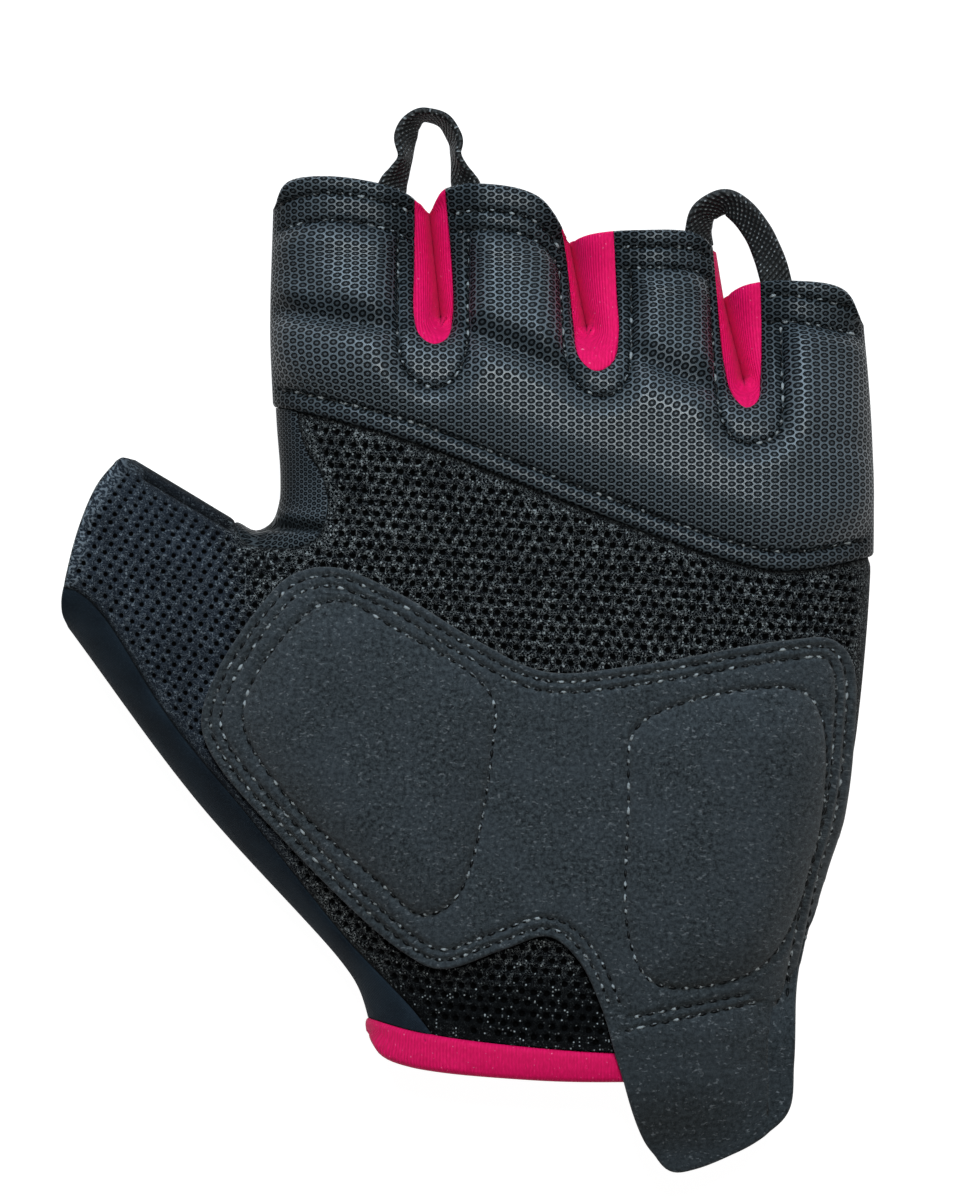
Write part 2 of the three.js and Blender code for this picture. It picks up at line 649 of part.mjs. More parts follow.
// Webbing swept along its middle line, turning as it goes.
function pullLoop({ stations }) {
  const key = (name) => stations.map((s) => s[name]);
  const middle = stations.map((s) => new THREE.Vector3(s.x, s.y, s.z));
  const path = new THREE.CatmullRomCurve3(middle, false, 'centripetal');
  const turns = new THREE.SplineCurve(key('turn').map((turn, i) => new THREE.Vector2(i, turn)));
  const sections = steps(webbing.steps).map((t) => {
    const centre = path.getPoint(t);
    const forward = path.getTangent(t);
    const flat = new THREE.Vector3(-forward.y, forward.x, 0).normalize();
    const turn = THREE.MathUtils.degToRad(turns.getPoint(t).y);
    const wide = flat.clone().applyAxisAngle(forward, turn);
    const thick = new THREE.Vector3().crossVectors(forward, wide);
    return [[-1, -1], [1, -1], [1, 1], [-1, 1]].map(([w, h]) => centre.clone()
      .addScaledVector(wide, (w * webbing.width) / 2).addScaledVector(thick, (h * webbing.thickness) / 2));
  });
  const triangles = [];
  const quad = (a, b, c, d) => triangles.push(a, b, c, a, c, d);
  for (let s = 1; s < sections.length; s += 1) {
    const [from, to] = [sections[s - 1], sections[s]];
    for (let k = 0; k < 4; k += 1) quad(from[k], from[(k + 1) % 4], to[(k + 1) % 4], to[k]);
  }
  const [first, last] = [sections[0], sections[sections.length - 1]];
  quad(first[3], first[2], first[1], first[0]);
  quad(last[0], last[1], last[2], last[3]);
  return solidFrom(triangles);
}

// Materials.
const finish = (color, roughness) => new THREE.MeshStandardMaterial({ color, roughness, metalness: 0 });
const leather = finish(0x2b323b, 0.5);
const airMesh = finish(0x15171b, 0.85);
const suede = finish(0x24272c, 0.95);
const lycra = finish(0xd1145d, 0.6);
const stretch = finish(0x1a212b, 0.8);
const tape = finish(0x17181b, 0.8);

const glove = new THREE.Group();

function addPiece(name, solid, material) {
  const mesh = solid.getMesh();
  const geometry = new THREE.BufferGeometry();
  const place = new Float32Array(mesh.numVert * 3);
  for (let i = 0; i < mesh.numVert; i += 1) {
    for (let axis = 0; axis < 3; axis += 1) {
      place[i * 3 + axis] = mesh.vertProperties[i * mesh.numProp + axis];
    }
  }
  geometry.setAttribute('position', new THREE.BufferAttribute(place, 3));
  geometry.setIndex(new THREE.BufferAttribute(mesh.triVerts, 1));
  geometry.computeVertexNormals();
  const piece = new THREE.Mesh(geometry, material);
  piece.name = name;
  glove.add(piece);
}

addPiece('finger_panel', fingerPanel(), leather);
addPiece('crotch_patch', crotchPatch(), leather);
addPiece('palm_mesh', palmMesh(), airMesh);
addPiece('back_panel', backPanel(), stretch);
addPiece('heel_patch', heelPatch(), suede);
addPiece('cuff_binding', cuffBinding(), lycra);
slots.forEach((slot, i) => addPiece(slot.name, gusset(i), lycra));
loops.forEach((loop) => addPiece(loop.name, pullLoop(loop), tape));

export default glove;
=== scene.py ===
# A fingerless cycling glove for the left hand, filled as a hand fills it, lying palm up on its back.
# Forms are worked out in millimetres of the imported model's frame: X to the little finger, Y to the
# fingertips, Z up out of the palm. They become metres when a mesh is made.
import math
from functools import cached_property

import bpy
import numpy as np
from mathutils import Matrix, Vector
from mathutils.geometry import delaunay_2d_cdt
from mathutils.kdtree import KDTree


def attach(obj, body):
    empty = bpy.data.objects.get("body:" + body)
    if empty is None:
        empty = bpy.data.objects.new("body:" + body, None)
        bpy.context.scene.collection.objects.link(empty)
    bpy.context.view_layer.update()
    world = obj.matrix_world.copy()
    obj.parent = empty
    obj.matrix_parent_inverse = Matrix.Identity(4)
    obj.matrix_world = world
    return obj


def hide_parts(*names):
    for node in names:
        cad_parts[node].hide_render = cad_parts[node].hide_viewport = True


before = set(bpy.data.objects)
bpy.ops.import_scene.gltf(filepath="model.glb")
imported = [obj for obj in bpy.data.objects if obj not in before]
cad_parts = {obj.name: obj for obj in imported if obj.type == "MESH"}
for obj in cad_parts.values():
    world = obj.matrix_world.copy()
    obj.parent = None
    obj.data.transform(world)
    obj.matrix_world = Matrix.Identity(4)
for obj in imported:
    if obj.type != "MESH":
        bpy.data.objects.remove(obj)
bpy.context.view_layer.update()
MM = 0.001

# Cloth
WALL = 1.2
GAP = 0.3
SEAM_INSET = -0.03
SLOT_WIDTH = 0.05

# The filled hand form: level of its side line, rise to the front, and how far in it is still round.
PALM = {"side": 12.0, "rise": 14.0, "front": 21.0, "back": 8.0, "slot": 6.5}
FINGER = {"side": 8.2, "rise": 9.0, "front": 10.5, "back": 6.0, "slot": 10.0}
THUMB = {"side": 11.0, "rise": 10.5, "front": 12.0, "back": 7.0, "slot": 6.5}
SLOT_BACK = 5.0
FINGER_BLEND = {"below": 9.0, "length": 20.0}
THUMB_BLEND = {"inside": 8.0, "length": 26.0}

# Mesh density: between plan points, along outlines, and the rings beside the steep sides.
GRID = 0.62
BACK_GRID = 1.5
STEP = 0.75
SIDE_RINGS = (0.02, 0.08, 0.2, 0.4, 0.6, 0.85, 1.2)
SEAM_RINGS = (0.25, 0.6, 1.0)
ROW_RINGS = (0.28, 0.65)
SEAM_AT_BACK = 0.6
GUSSET_AT_BACK = 1.2

# Open end of each finger: the rim from corner to corner, and how far in its two rows of stitches run.
FINGERS = [
    {"left": (-29.8, 66.8), "shoulder": (-28.0, 70.3), "crown": (-21.3, 71.4), "fall": (-10.5, 69.3),
     "right": (-5.925, 66.2), "row_end": (-5.9, 66.2), "rows": (2.3, 6.5)},
    {"left": (-5.875, 66.2), "shoulder": (-3.3, 69.4), "crown": (3.5, 70.2), "fall": (11.0, 68.2),
     "right": (15.875, 61.6), "row_end": (15.9, 61.6), "rows": (3.8, 6.7)},
    {"left": (15.925, 61.6), "shoulder": (19.0, 62.5), "crown": (26.7, 63.1), "fall": (35.3, 62.6),
     "right": (38.6, 60.2), "row_end": (38.6, 60.2), "rows": (2.3, 5.6)},
    {"left": (39.825, 53.0), "shoulder": (42.5, 54.5), "crown": (49.5, 55.3), "fall": (58.2, 53.8),
     "right": (61.2, 48.8), "row_end": (61.6, 53.0), "rows": (2.0, 6.1)},
]

# Slots between the fingers: the web at the foot and the top, the U of the gusset, and the row of stitches
# round the tongue of leather that it is sewn to.
SLOTS = [
    {"web": (-4.1, 49.5), "top": (-5.9, 66.2), "name": "gusset_index_middle",
     "outline": [(-8.0, 74.0), (-8.1, 58.0), (-8.1, 49.9), (-7.3, 47.0), (-5.2, 45.6), (-3.2, 46.5),
                 (-2.3, 49.9), (-2.4, 57.1), (-3.5, 69.6), (-3.9, 74.0)],
     "row": [(-10.8, 70.0), (-10.7, 58.0), (-10.7, 46.5), (-10.2, 43.5), (-9.2, 41.2), (-6.8, 39.1),
             (-3.4, 39.1), (-1.2, 41.4), (-0.1, 45.0), (0.1, 52.0), (0.2, 70.0)]},
    {"web": (18.5, 48.1), "top": (15.9, 61.6), "name": "gusset_middle_ring",
     "outline": [(13.8, 70.0), (15.6, 57.1), (16.4, 48.5), (17.4, 43.4), (19.9, 41.5), (22.4, 43.0),
                 (23.2, 47.2), (22.9, 54.9), (22.5, 63.3), (22.1, 70.0)],
     "row": [(13.0, 70.0), (14.1, 57.0), (14.6, 48.0), (15.1, 43.8), (16.3, 40.1), (19.1, 37.8),
             (22.0, 37.7), (24.4, 39.9), (25.2, 43.8), (25.3, 50.0), (25.2, 70.0)]},
    {"web": (42.9, 39.9), "top": (39.8, 53.0), "name": "gusset_ring_little",
     "outline": [(37.2, 70.0), (37.9, 62.1), (38.6, 53.2), (39.7, 42.4), (40.8, 38.0), (42.9, 35.8),
                 (44.6, 36.8), (45.2, 39.8), (45.4, 47.5), (45.2, 55.1), (45.0, 70.0)],
     "row": [(36.4, 70.0), (36.9, 60.0), (37.4, 52.0), (37.9, 44.0), (38.4, 38.0), (39.2, 33.8),
             (40.6, 31.2), (42.8, 30.3), (45.5, 30.4), (47.7, 31.8), (48.5, 35.1), (48.5, 45.0),
             (48.4, 70.0)]},
]

# Outline of the palm and thumb, seen from the front.
INDEX_SIDE = [(-30.2, 48.9), (-29.6, 34.1), (-29.0, 25.5), (-29.2, 21.2), (-30.4, 18.2), (-32.8, 17.0)]
THUMB_TOP = [(-32.8, 17.0), (-35.6, 18.4), (-43.8, 23.3), (-51.5, 27.9)]
THUMB_END = [(-51.5, 27.9), (-53.1, 28.1), (-54.2, 27.1), (-56.7, 24.0), (-59.6, 17.4), (-61.9, 8.4),
             (-62.5, 4.6), (-61.9, 1.9)]
THUMB_LOW = [(-61.9, 1.9), (-42.1, -24.8), (-19.6, -49.8)]
WRIST_SIDE = [(-19.6, -49.8), (-16.9, -53.9), (-15.4, -58.5), (-15.1, -60.4)]
WRIST_END = [(-15.1, -60.4), (-13.2, -63.1), (-9.0, -64.8), (9.8, -66.8), (23.6, -67.1), (39.1, -66.5),
             (48.3, -64.8)]
LITTLE_SIDE = [(62.1, 36.5), (62.6, 21.7), (62.4, 9.0), (60.9, -9.3), (59.6, -18.6), (57.4, -26.5),
               (54.3, -35.5), (51.3, -46.0), (48.8, -54.0), (48.3, -64.8)]

# Seams on the palm side. Each runs past the outline at both ends.
LEATHER_HEM = [(-36.0, 37.0), (-28.4, 35.7), (-9.1, 30.7), (16.0, 21.0), (41.0, 12.0), (50.0, 10.7),
               (70.0, 14.5)]
CROTCH_SEAM = [(-27.4, 38.0), (-25.3, 29.9), (-22.4, 25.0), (-21.7, 20.0), (-23.8, 15.3), (-29.0, 14.3),
               (-34.5, 15.6), (-37.0, 23.0)]
BACK_SEAM = [(-68.0, 8.6), (-60.5, 7.5), (-56.3, 3.8), (-46.4, -11.9), (-31.5, -30.2), (-18.7, -46.5),
             (-7.8, -57.9), (-1.0, -67.0)]
BINDING_SEAM = [(-22.0, -57.0), (-15.0, -58.5), (-8.0, -60.2), (4.0, -61.9), (26.7, -63.5), (39.1, -63.0),
                (60.0, -60.3)]
WEB_LINE = [(-30.0, 49.5), (-4.1, 49.5), (18.5, 48.1), (42.9, 39.9), (62.0, 36.5)]

# Overlay on the heel of the hand: its outline, the stitched outlines of its pads, and the tab's rows.
HEEL_OUTLINE = [(-40.5, -12.0), (-38.2, -4.9), (-31.5, 5.0), (-26.5, 9.6), (-20.1, 10.9), (-10.9, 7.3),
                (0.9, 0.2), (11.9, -4.9), (25.7, -4.0), (49.4, 0.0), (55.5, 0.1), (58.3, -3.2),
                (58.4, -16.6), (56.7, -28.5), (54.4, -36.2), (52.3, -46.2), (50.8, -54.2), (50.3, -65.0),
                (49.5, -72.6), (46.2, -76.0), (35.2, -81.3), (31.2, -81.6), (27.9, -77.4), (23.3, -65.1),
                (20.7, -56.4), (17.0, -48.9), (12.5, -45.4), (5.5, -47.4), (-3.8, -50.3), (-9.4, -47.6),
                (-28.8, -29.1), (-39.0, -17.0)]
LEFT_PAD = [(-20.0, 6.0), (-28.0, 0.5), (-34.2, -11.5), (-28.8, -22.0), (-13.7, -36.5), (-6.5, -42.1),
            (-1.5, -39.3), (3.8, -17.0), (3.6, -8.3), (-10.9, 1.7)]
RIGHT_PAD = [(25.6, -14.0), (31.5, -10.2), (50.6, -7.6), (54.0, -12.0), (52.8, -32.5), (44.6, -50.0),
             (29.0, -52.8), (25.0, -46.3), (24.8, -25.0)]
TAB_ROWS = [[(25.3, -57.9), (42.1, -54.4)], [(23.9, -60.0), (44.1, -55.6)]]
TAB = {"leave": -50.0, "leave_over": 12.0, "clear": 3.0, "low": -84.2, "level": 21.0, "bend": 1.4,
       "lean": 1.5}
HEEL = {"cloth": 1.4, "rise": 2.0, "roll": 8.0, "rows_end": -56.5, "edge_rings": (0.12, 0.35, 0.7)}
BINDING_PROUD = 0.45

# Creases where the fingers bend, between the finger pads and the pad across the palm, and how deep
# each is cut. The last is a soft fold over the index finger. Their painted shadows lie a little above them.
CREASES = [
    {"line": [(-33.0, 52.0), (-24.0, 49.9), (-10.0, 47.2)], "depth": 1.0},
    {"line": [(-1.0, 47.4), (7.0, 44.5), (17.0, 40.1)], "depth": 1.0},
    {"line": [(24.0, 44.2), (31.0, 40.9), (39.0, 37.8)], "depth": 0.9},
    {"line": [(47.0, 32.0), (54.0, 30.5), (64.0, 29.0)], "depth": 0.15},
    {"line": [(-31.5, 59.0), (-25.5, 55.5), (-19.5, 49.5)], "depth": 0.3},
]
CREASE_SHADOW = (0.3, 1.3)

# Dimples embossed in the leather: their width, how much of a height counts, and where each part starts and
# ends, from the middle outwards or inwards.
DIMPLE = {"wide": 2.46, "squash": 1.406, "ridge": (0.44, 0.63), "crest": (0.50, 0.64), "bump": (0.33, 0.17)}

# Foam under the leather, how far rows of stitches run from a seam or an edge, and the grooves they pull in.
LEATHER_PUFF = {"finger": 2.5, "palm": 2.8, "roll": 3.8, "hem_roll": 7.5}
ROWS = {"hem": 2.9, "gusset": 2.8, "heel": (1.25, 2.8)}
GROOVE = {"depth": 0.6, "width": 0.42}
THUMB_HEM = 1.15

# Painted shade: how much darker a cloth is painted beside a line, and the width over which that fades.
PAINTED_SHADE = {
    "leather side": (0.7, 3.8), "pad side": (0.4, 1.2), "crease": (0.62, 2.1), "stitches": (0.9, 0.42),
    "under the hem": (1.0, 0.8), "thumb hem": (1.0, 0.75), "mesh seam": (0.85, 0.75),
    "thumb top": (0.8, 1.3), "mesh side": (0.45, 2.5), "pinch": (0.95, 0.8), "crotch side": (0.8, 3.0)}

# Holes knitted into the air mesh: pitch along and between rows, size, share of that size on the thumb,
# depth and unevenness. The rows fall to the right, and the more the further they are out on the thumb:
# for some places across the cloth, the place there and how far up the row has risen.
HOLES = {"pitch": 1.87, "row": 1.7, "rim": 0.56, "floor": 0.42, "on_thumb": 0.78, "depth": 0.75,
         "uneven": 0.1, "sides": 8}
HOLE_ROW = [(-90.0, -82.9, 29.3), (-35.0, -35.0, 4.4), (-22.0, -22.0, 1.5), (90.0, 90.0, -8.5)]

# Webbing of the pull loops: middle line and turn from flat (0) to on edge (90 degrees).
WEBBING = {"width": 4.8, "thickness": 1.0, "columns": 11, "edge": 0.55}
LOOPS = [
    {"name": "pull_loop_index_middle", "stations": [
        (-12.0, 68.6, 15.0, 8), (-11.4, 70.6, 15.2, 32), (-10.5, 72.4, 15.3, 54), (-9.6, 74.6, 15.4, 68),
        (-9.5, 78.0, 15.5, 48), (-8.6, 80.0, 15.5, 58), (-6.2, 81.2, 15.5, 72), (-3.5, 80.2, 15.5, 68),
        (-2.1, 78.0, 15.5, 66), (-1.8, 75.2, 15.4, 78), (-1.3, 73.2, 15.3, 64), (-0.7, 71.4, 15.2, 42),
        (-0.1, 69.8, 15.1, 22), (0.2, 68.2, 15.0, 8)]},
    {"name": "pull_loop_ring_little", "stations": [
        (36.0, 60.6, 12.2, 30), (35.8, 63.6, 14.0, 36), (36.7, 66.2, 15.4, 40), (39.4, 67.7, 16.2, 42),
        (42.4, 66.2, 16.6, 36), (44.7, 63.3, 16.6, 32), (46.3, 60.0, 16.5, 24), (47.6, 56.0, 16.0, 6),
        (48.4, 52.6, 15.0, 0)]},
]


# Thread of the rows of stitches: how far it stands up, how far each stitch dips at its ends, the share of
# the pitch between them, and its thickness from end to end.
STITCH = {"radius": 0.26, "proud": 0.16, "dip": 0.5, "span": (0.12, 0.88), "sides": 6,
          "sizes": (0.6, 0.95, 1.05, 0.95, 0.6)}
STITCH_PITCH = {"leather": 1.8, "heel": 1.9}

# Lights, in metres and watts, and the shot: size of a pixel, rows, centre and distance in millimetres.
LIGHTS = [
    {"name": "sky light", "place": (-0.15, 0.9, 0.7), "size": 0.7, "power": 12.0,
     "colour": (0.66, 0.84, 1.0)},
    {"name": "key", "place": (0.08, 0.26, 1.05), "size": 0.24, "power": 9.0, "colour": (0.97, 1.0, 0.97)},
]
SHOT = {"pixel": 0.155, "rows": 1200, "centre": (3.2, 6.2), "distance": 1550.0, "level": 12.0}


# Number and curve helpers

def mix(a, b, t):
    return a + (b - a) * t


def ease(t):
    t = np.clip(t, 0, 1)
    return t * t * (3 - 2 * t)


def round_over(t):
    """A quarter circle: 0 at the edge, 1 from one roll inwards."""
    return np.sqrt(1 - (1 - np.clip(t, 0, 1)) ** 2)


def dent(distance, width):
    return np.exp(-(distance / width) ** 2)


def unit(vectors):
    return vectors / np.maximum(np.linalg.norm(vectors, axis=1), 1e-12)[:, None]


def length_along(line):
    return np.concatenate([[0], np.cumsum(np.linalg.norm(np.diff(line, axis=0), axis=1))])


def even(line, spacing):
    """The same line with its points at equal steps."""
    length = length_along(line)
    at = np.linspace(0, length[-1], max(2, round(length[-1] / spacing) + 1))
    return np.stack([np.interp(at, length, line[:, k]) for k in range(line.shape[1])], axis=1)


def smooth(points, spacing=STEP, closed=False):
    """A centripetal curve through a few points, as points at equal steps."""
    points = np.asarray(points, float)
    if closed:
        padded = np.vstack([points[-1:], points, points[:2]])
    else:
        padded = np.vstack([2 * points[:1] - points[1:2], points, 2 * points[-1:] - points[-2:-1]])
    t = np.linspace(0, 1, 24, endpoint=False)[:, None]
    pieces = []
    for p0, p1, p2, p3 in zip(padded[:-3], padded[1:-2], padded[2:-1], padded[3:]):
        k0, k1, k2 = (np.linalg.norm(b - a) ** 0.5 for a, b in ((p0, p1), (p1, p2), (p2, p3)))
        leave = ((p1 - p0) / k0 - (p2 - p0) / (k0 + k1)) * k1 + p2 - p1
        arrive = ((p3 - p2) / k2 - (p3 - p1) / (k1 + k2)) * k1 + p2 - p1
        pieces.append(p1 * (2 * t ** 3 - 3 * t ** 2 + 1) + leave * (t ** 3 - 2 * t ** 2 + t)
                      + p2 * (3 * t ** 2 - 2 * t ** 3) + arrive * (t ** 3 - t ** 2))
    line = even(np.vstack(pieces + [padded[-2:-1]]), spacing)
    return line[:-1] if closed else line


def sideways(line, distance):
    """A plan line moved to its right."""
    run = unit(np.gradient(line, axis=0))
    return line + distance * np.stack([run[:, 1], -run[:, 0]], axis=1)


def loop_of(line):
    return np.vstack([line, line[:1]])


def nearest(points, lines):
    """Distance from each plan point to the nearest of some lines, and the way there."""
    best = np.full(len(points), np.inf)
    way = np.zeros((len(points), 2))
    for line in lines:
        for a, b in zip(line[:-1], line[1:]):
            along = b - a
            share = np.clip((points - a) @ along / max(along @ along, 1e-12), 0, 1)
            off = a + share[:, None] * along - points
            size = np.hypot(off[:, 0], off[:, 1])
            closer = size < best
            best[closer] = size[closer]
            way[closer] = off[closer]
    return best, way / np.maximum(best, 1e-6)[:, None]


def inside(points, outline):
    """Which plan points lie inside a closed outline."""
    found = np.zeros(len(points), bool)
    x, y = points[:, 0], points[:, 1]
    for (ax, ay), (bx, by) in zip(outline, np.roll(outline, -1, axis=0)):
        crosses = (ay > y) != (by > y)
        if crosses.any():
            found ^= crosses & (x < ax + (y - ay) * (bx - ax) / (by - ay if by != ay else 1))
    return found


def above(points, line):
    return points[:, 1] - np.interp(points[:, 0], line[:, 0], line[:, 1])


# Lines of the plan

hem_line = smooth(LEATHER_HEM)
crotch_line = smooth(CROTCH_SEAM)
back_line = smooth(BACK_SEAM)
binding_line = smooth(BINDING_SEAM)
gusset_lines = [smooth(slot["outline"], 0.6) for slot in SLOTS]
tongue_lines = [smooth(slot["row"], 0.6) for slot in SLOTS]
crease_lines = [smooth(crease["line"]) for crease in CREASES]
web_line = np.array(WEB_LINE)
index_side = smooth([FINGERS[0]["left"], *INDEX_SIDE, *THUMB_TOP[1:]])
thumb_top = smooth(THUMB_TOP)
thumb_end = smooth(THUMB_END)
low_side = smooth([*THUMB_LOW, *WRIST_SIDE[1:]])
wrist_end = smooth(WRIST_END)
little_side = smooth([FINGERS[3]["right"], *LITTLE_SIDE])
rims = [smooth([f["left"], f["shoulder"], f["crown"], f["fall"], f["right"]], 0.6) for f in FINGERS]
SIDE_LINES = [index_side, low_side, little_side]
SLOT_LINES = [np.array([right["left"], slot["web"], left["right"]])
              for slot, left, right in zip(SLOTS, FINGERS[:3], FINGERS[1:])]
slot_top = (SLOTS[2]["top"][0] - SLOT_WIDTH / 2, SLOTS[2]["top"][1])
SLOT_LINES[2] = np.array([FINGERS[3]["left"], SLOTS[2]["web"], slot_top, FINGERS[2]["right"]])
slot_walls = [np.vstack([*(even(line[k:k + 2], STEP)[:-1] for k in range(len(line) - 1)), line[-1:]])
              for line in SLOT_LINES]
thumb_fold = sideways(thumb_top, -THUMB_HEM)[5:-4]
pinch_line = smooth([(-33.5, 17.9), (-28.0, 17.7), (-21.8, 17.2)])
heel_line = smooth(HEEL_OUTLINE[::-1], 0.6, closed=True)
pad_lines = [smooth(outline, 0.6, closed=True) for outline in (LEFT_PAD, RIGHT_PAD)]

# The whole outline, anticlockwise.
outline = np.vstack([
    index_side[:-1], thumb_end[:-1], low_side[:-1], wrist_end[:-1], little_side[::-1][:-1],
    rims[3][::-1][:-1], slot_walls[2][:-1], rims[2][::-1][:-1], slot_walls[1][:-1], rims[1][::-1][:-1],
    slot_walls[0][:-1], rims[0][::-1][:-1]])


# The form of the filled hand

class Spots:
    """Places in the plan, with what the forms need to know about them."""

    def __init__(self, points):
        self.xy = np.asarray(points, float)

    @cached_property
    def to_side(self):
        return nearest(self.xy, SIDE_LINES)

    @cached_property
    def to_slot(self):
        return nearest(self.xy, SLOT_LINES)

    @cached_property
    def finger(self):
        return ease((above(self.xy, web_line) + FINGER_BLEND["below"]) / FINGER_BLEND["length"])

    @cached_property
    def thumb(self):
        (top_x, top_y), (low_x, low_y) = THUMB_TOP[0], THUMB_LOW[2]
        base = mix(top_x, low_x, np.clip((top_y - self.xy[:, 1]) / (top_y - low_y), 0, 1))
        inwards = base - self.xy[:, 0] + THUMB_BLEND["inside"]
        return ease(inwards / THUMB_BLEND["length"]) * (1 - self.finger)

    def form(self, key):
        return mix(mix(PALM[key], THUMB[key], self.thumb), FINGER[key], self.finger)

    @cached_property
    def front(self):
        from_side = round_over(self.to_side[0] / self.form("front"))
        from_slot = round_over(self.to_slot[0] / self.form("slot"))
        return self.form("side") + self.form("rise") * (from_side * from_slot)

    @cached_property
    def back(self):
        fall = round_over(self.to_side[0] / self.form("back")) * round_over(self.to_slot[0] / SLOT_BACK)
        return self.form("side") * (1 - fall)

    def far_from(self, *lines):
        return nearest(self.xy, lines)[0]


def stretch_out(distance, radius, rise):
    """How much longer the cloth is than its plan, from a place on a rounded side to the flat."""
    start = np.arccos(1 - np.clip(distance / radius, 0, 1))
    count = 16
    extra = 0
    for k in range(count):
        angle = mix(start, math.pi / 2, (k + 0.5) / count)
        arc = np.hypot(radius * np.sin(angle), rise * np.cos(angle))
        extra = extra + (arc - radius * np.sin(angle)) * (math.pi / 2 - start) / count
    return extra


def flat_places(spots):
    """Where each place lies when the cloth is laid flat, so that a pattern keeps its scale."""
    flat = spots.xy.copy()
    for (distance, way), key in ((spots.to_side, "front"), (spots.to_slot, "slot")):
        radius = spots.form(key)
        flat += way * stretch_out(distance, radius, spots.form("rise"))[:, None]
    return flat


# Rows of stitches

def kept(line, passed):
    """The longest stretch of a line whose points pass a test."""
    best = (0, 0)
    start = None
    for k, good in enumerate([*passed, False]):
        if good and start is None:
            start = k
        if not good and start is not None:
            if k - start > best[1] - best[0]:
                best = (start, k)
            start = None
    return line[best[0]:best[1]]


def within_hand(line):
    spots = Spots(line)
    return inside(line, outline) & (spots.to_side[0] > 0.9) & (spots.to_slot[0] > 0.9)


def rim_row(finger, inset):
    """A row of stitches across a finger, below its rim."""
    corner = (finger["left"][0], finger["shoulder"][1] - 0.9)
    rim = smooth([corner, finger["shoulder"], finger["crown"], finger["fall"], finger["row_end"]])
    return rim - np.array([0, inset])


def finger_number(points):
    """Which finger each plan point belongs to, from how many slots are at its left."""
    number = np.zeros(len(points), int)
    for slot in SLOTS:
        (web_x, web_y), (top_x, top_y) = slot["web"], slot["top"]
        number += points[:, 0] > np.interp(points[:, 1], (web_y, top_y), (web_x, top_x))
    return number


def rim_room(spots):
    """Distance below the lower row of stitches of the place's own finger."""
    rooms = [-above(spots.xy, rim_row(finger, finger["rows"][1])) for finger in FINGERS]
    return np.choose(finger_number(spots.xy), rooms)


def tongue_room(spots):
    """Distance outside the tongues of leather that the gussets are sewn to, 0 on them."""
    on_tongue = np.any([inside(spots.xy, line) for line in tongue_lines], axis=0)
    return np.where(on_tongue, 0, spots.far_from(*tongue_lines))


def leather_rows():
    """Topstitching of the leather: along the hem, round each gusset and along each finger rim."""
    hem = sideways(hem_line, -ROWS["hem"])
    rows = [kept(hem, within_hand(hem))]
    for row in tongue_lines:
        rows.append(kept(row, within_hand(row) & (rim_room(Spots(row)) > 0)))
    for finger in FINGERS:
        for inset in finger["rows"]:
            row = rim_row(finger, inset)
            clear = np.all([~inside(row, line) & (Spots(row).far_from(line) > 0.8) for line in gusset_lines],
                           axis=0)
            rows.append(kept(row, within_hand(row) & clear))
    return rows


def heel_rows():
    """Two rows round the heel overlay down to its tab, and one round each of its pads."""
    ring = np.roll(heel_line, -np.argmin(heel_line[:, 1]), axis=0)
    rows = []
    for inset in ROWS["heel"]:
        row = sideways(ring, -inset)
        rows.append(kept(row, row[:, 1] > HEEL["rows_end"]))
    return rows + [loop_of(line) for line in pad_lines] + [even(np.array(row), STEP) for row in TAB_ROWS]


leather_seams = leather_rows()
heel_seams = heel_rows()


# Holes of the air mesh

def front_cloth(points):
    """The name of the cloth over each plan point, on the front."""
    cloths = np.full(len(points), "palm_mesh", dtype="<U24")
    crotch = np.vstack([crotch_line, [(CROTCH_SEAM[-1][0], CROTCH_SEAM[0][1])]])
    strip = np.vstack([back_line, [(-90, -90)]])
    cloths[inside(points, strip)] = "back_panel"
    cloths[inside(points, crotch)] = "crotch_patch"
    cloths[above(points, hem_line) > 0] = "finger_panel"
    for slot, line in zip(SLOTS, gusset_lines):
        cloths[inside(points, line)] = slot["name"]
    cloths[above(points, binding_line) < 0] = "cuff_binding"
    return cloths


def hole_centres():
    """Centres of the mesh's holes in the plan: rows that are even in the flat cloth, as far as they show."""
    columns, rows = np.meshgrid(np.arange(-50, 50), np.arange(-50, 50))
    flat = np.stack([(columns + rows % 2 / 2) * HOLES["pitch"], rows * HOLES["row"]], axis=2).reshape(-1, 2)
    across, place_across, risen = np.array(HOLE_ROW).T
    flat = np.column_stack([np.interp(flat[:, 0], across, place_across),
                            flat[:, 1] + np.interp(flat[:, 0], across, risen)])
    flat += np.random.default_rng(7).normal(0, HOLES["uneven"] / 2, flat.shape)
    place = flat.copy()
    for _ in range(12):
        place += 0.5 * (flat - flat_places(Spots(place)))
    found = np.linalg.norm(flat - flat_places(Spots(place)), axis=1) < 0.05
    place = place[found & inside(place, outline)]
    spots = Spots(place)
    clear = (front_cloth(place) == "palm_mesh") & (spots.to_side[0] > 1.2)
    clear &= spots.far_from(hem_line, crotch_line, back_line, binding_line) > 1.5
    clear &= spots.far_from(thumb_end, thumb_fold) > 1.3
    clear &= ~inside(place, heel_line) | (spots.far_from(loop_of(heel_line)) < 1.0)
    return place[clear]


def tree_of(points):
    tree = KDTree(len(points))
    for k, (x, y) in enumerate(points):
        tree.insert((x, y, 0), k)
    tree.balance()
    return tree


holes = hole_centres()
hole_sizes = mix(1, HOLES["on_thumb"], Spots(holes).thumb)
hole_tree = tree_of(holes)


def to_hole(points):
    """Distance to the middle of the nearest hole, counted in full-size holes."""
    found = [hole_tree.find((x, y, 0))[1:] for x, y in points]
    return np.array([distance / hole_sizes[number] for number, distance in found])


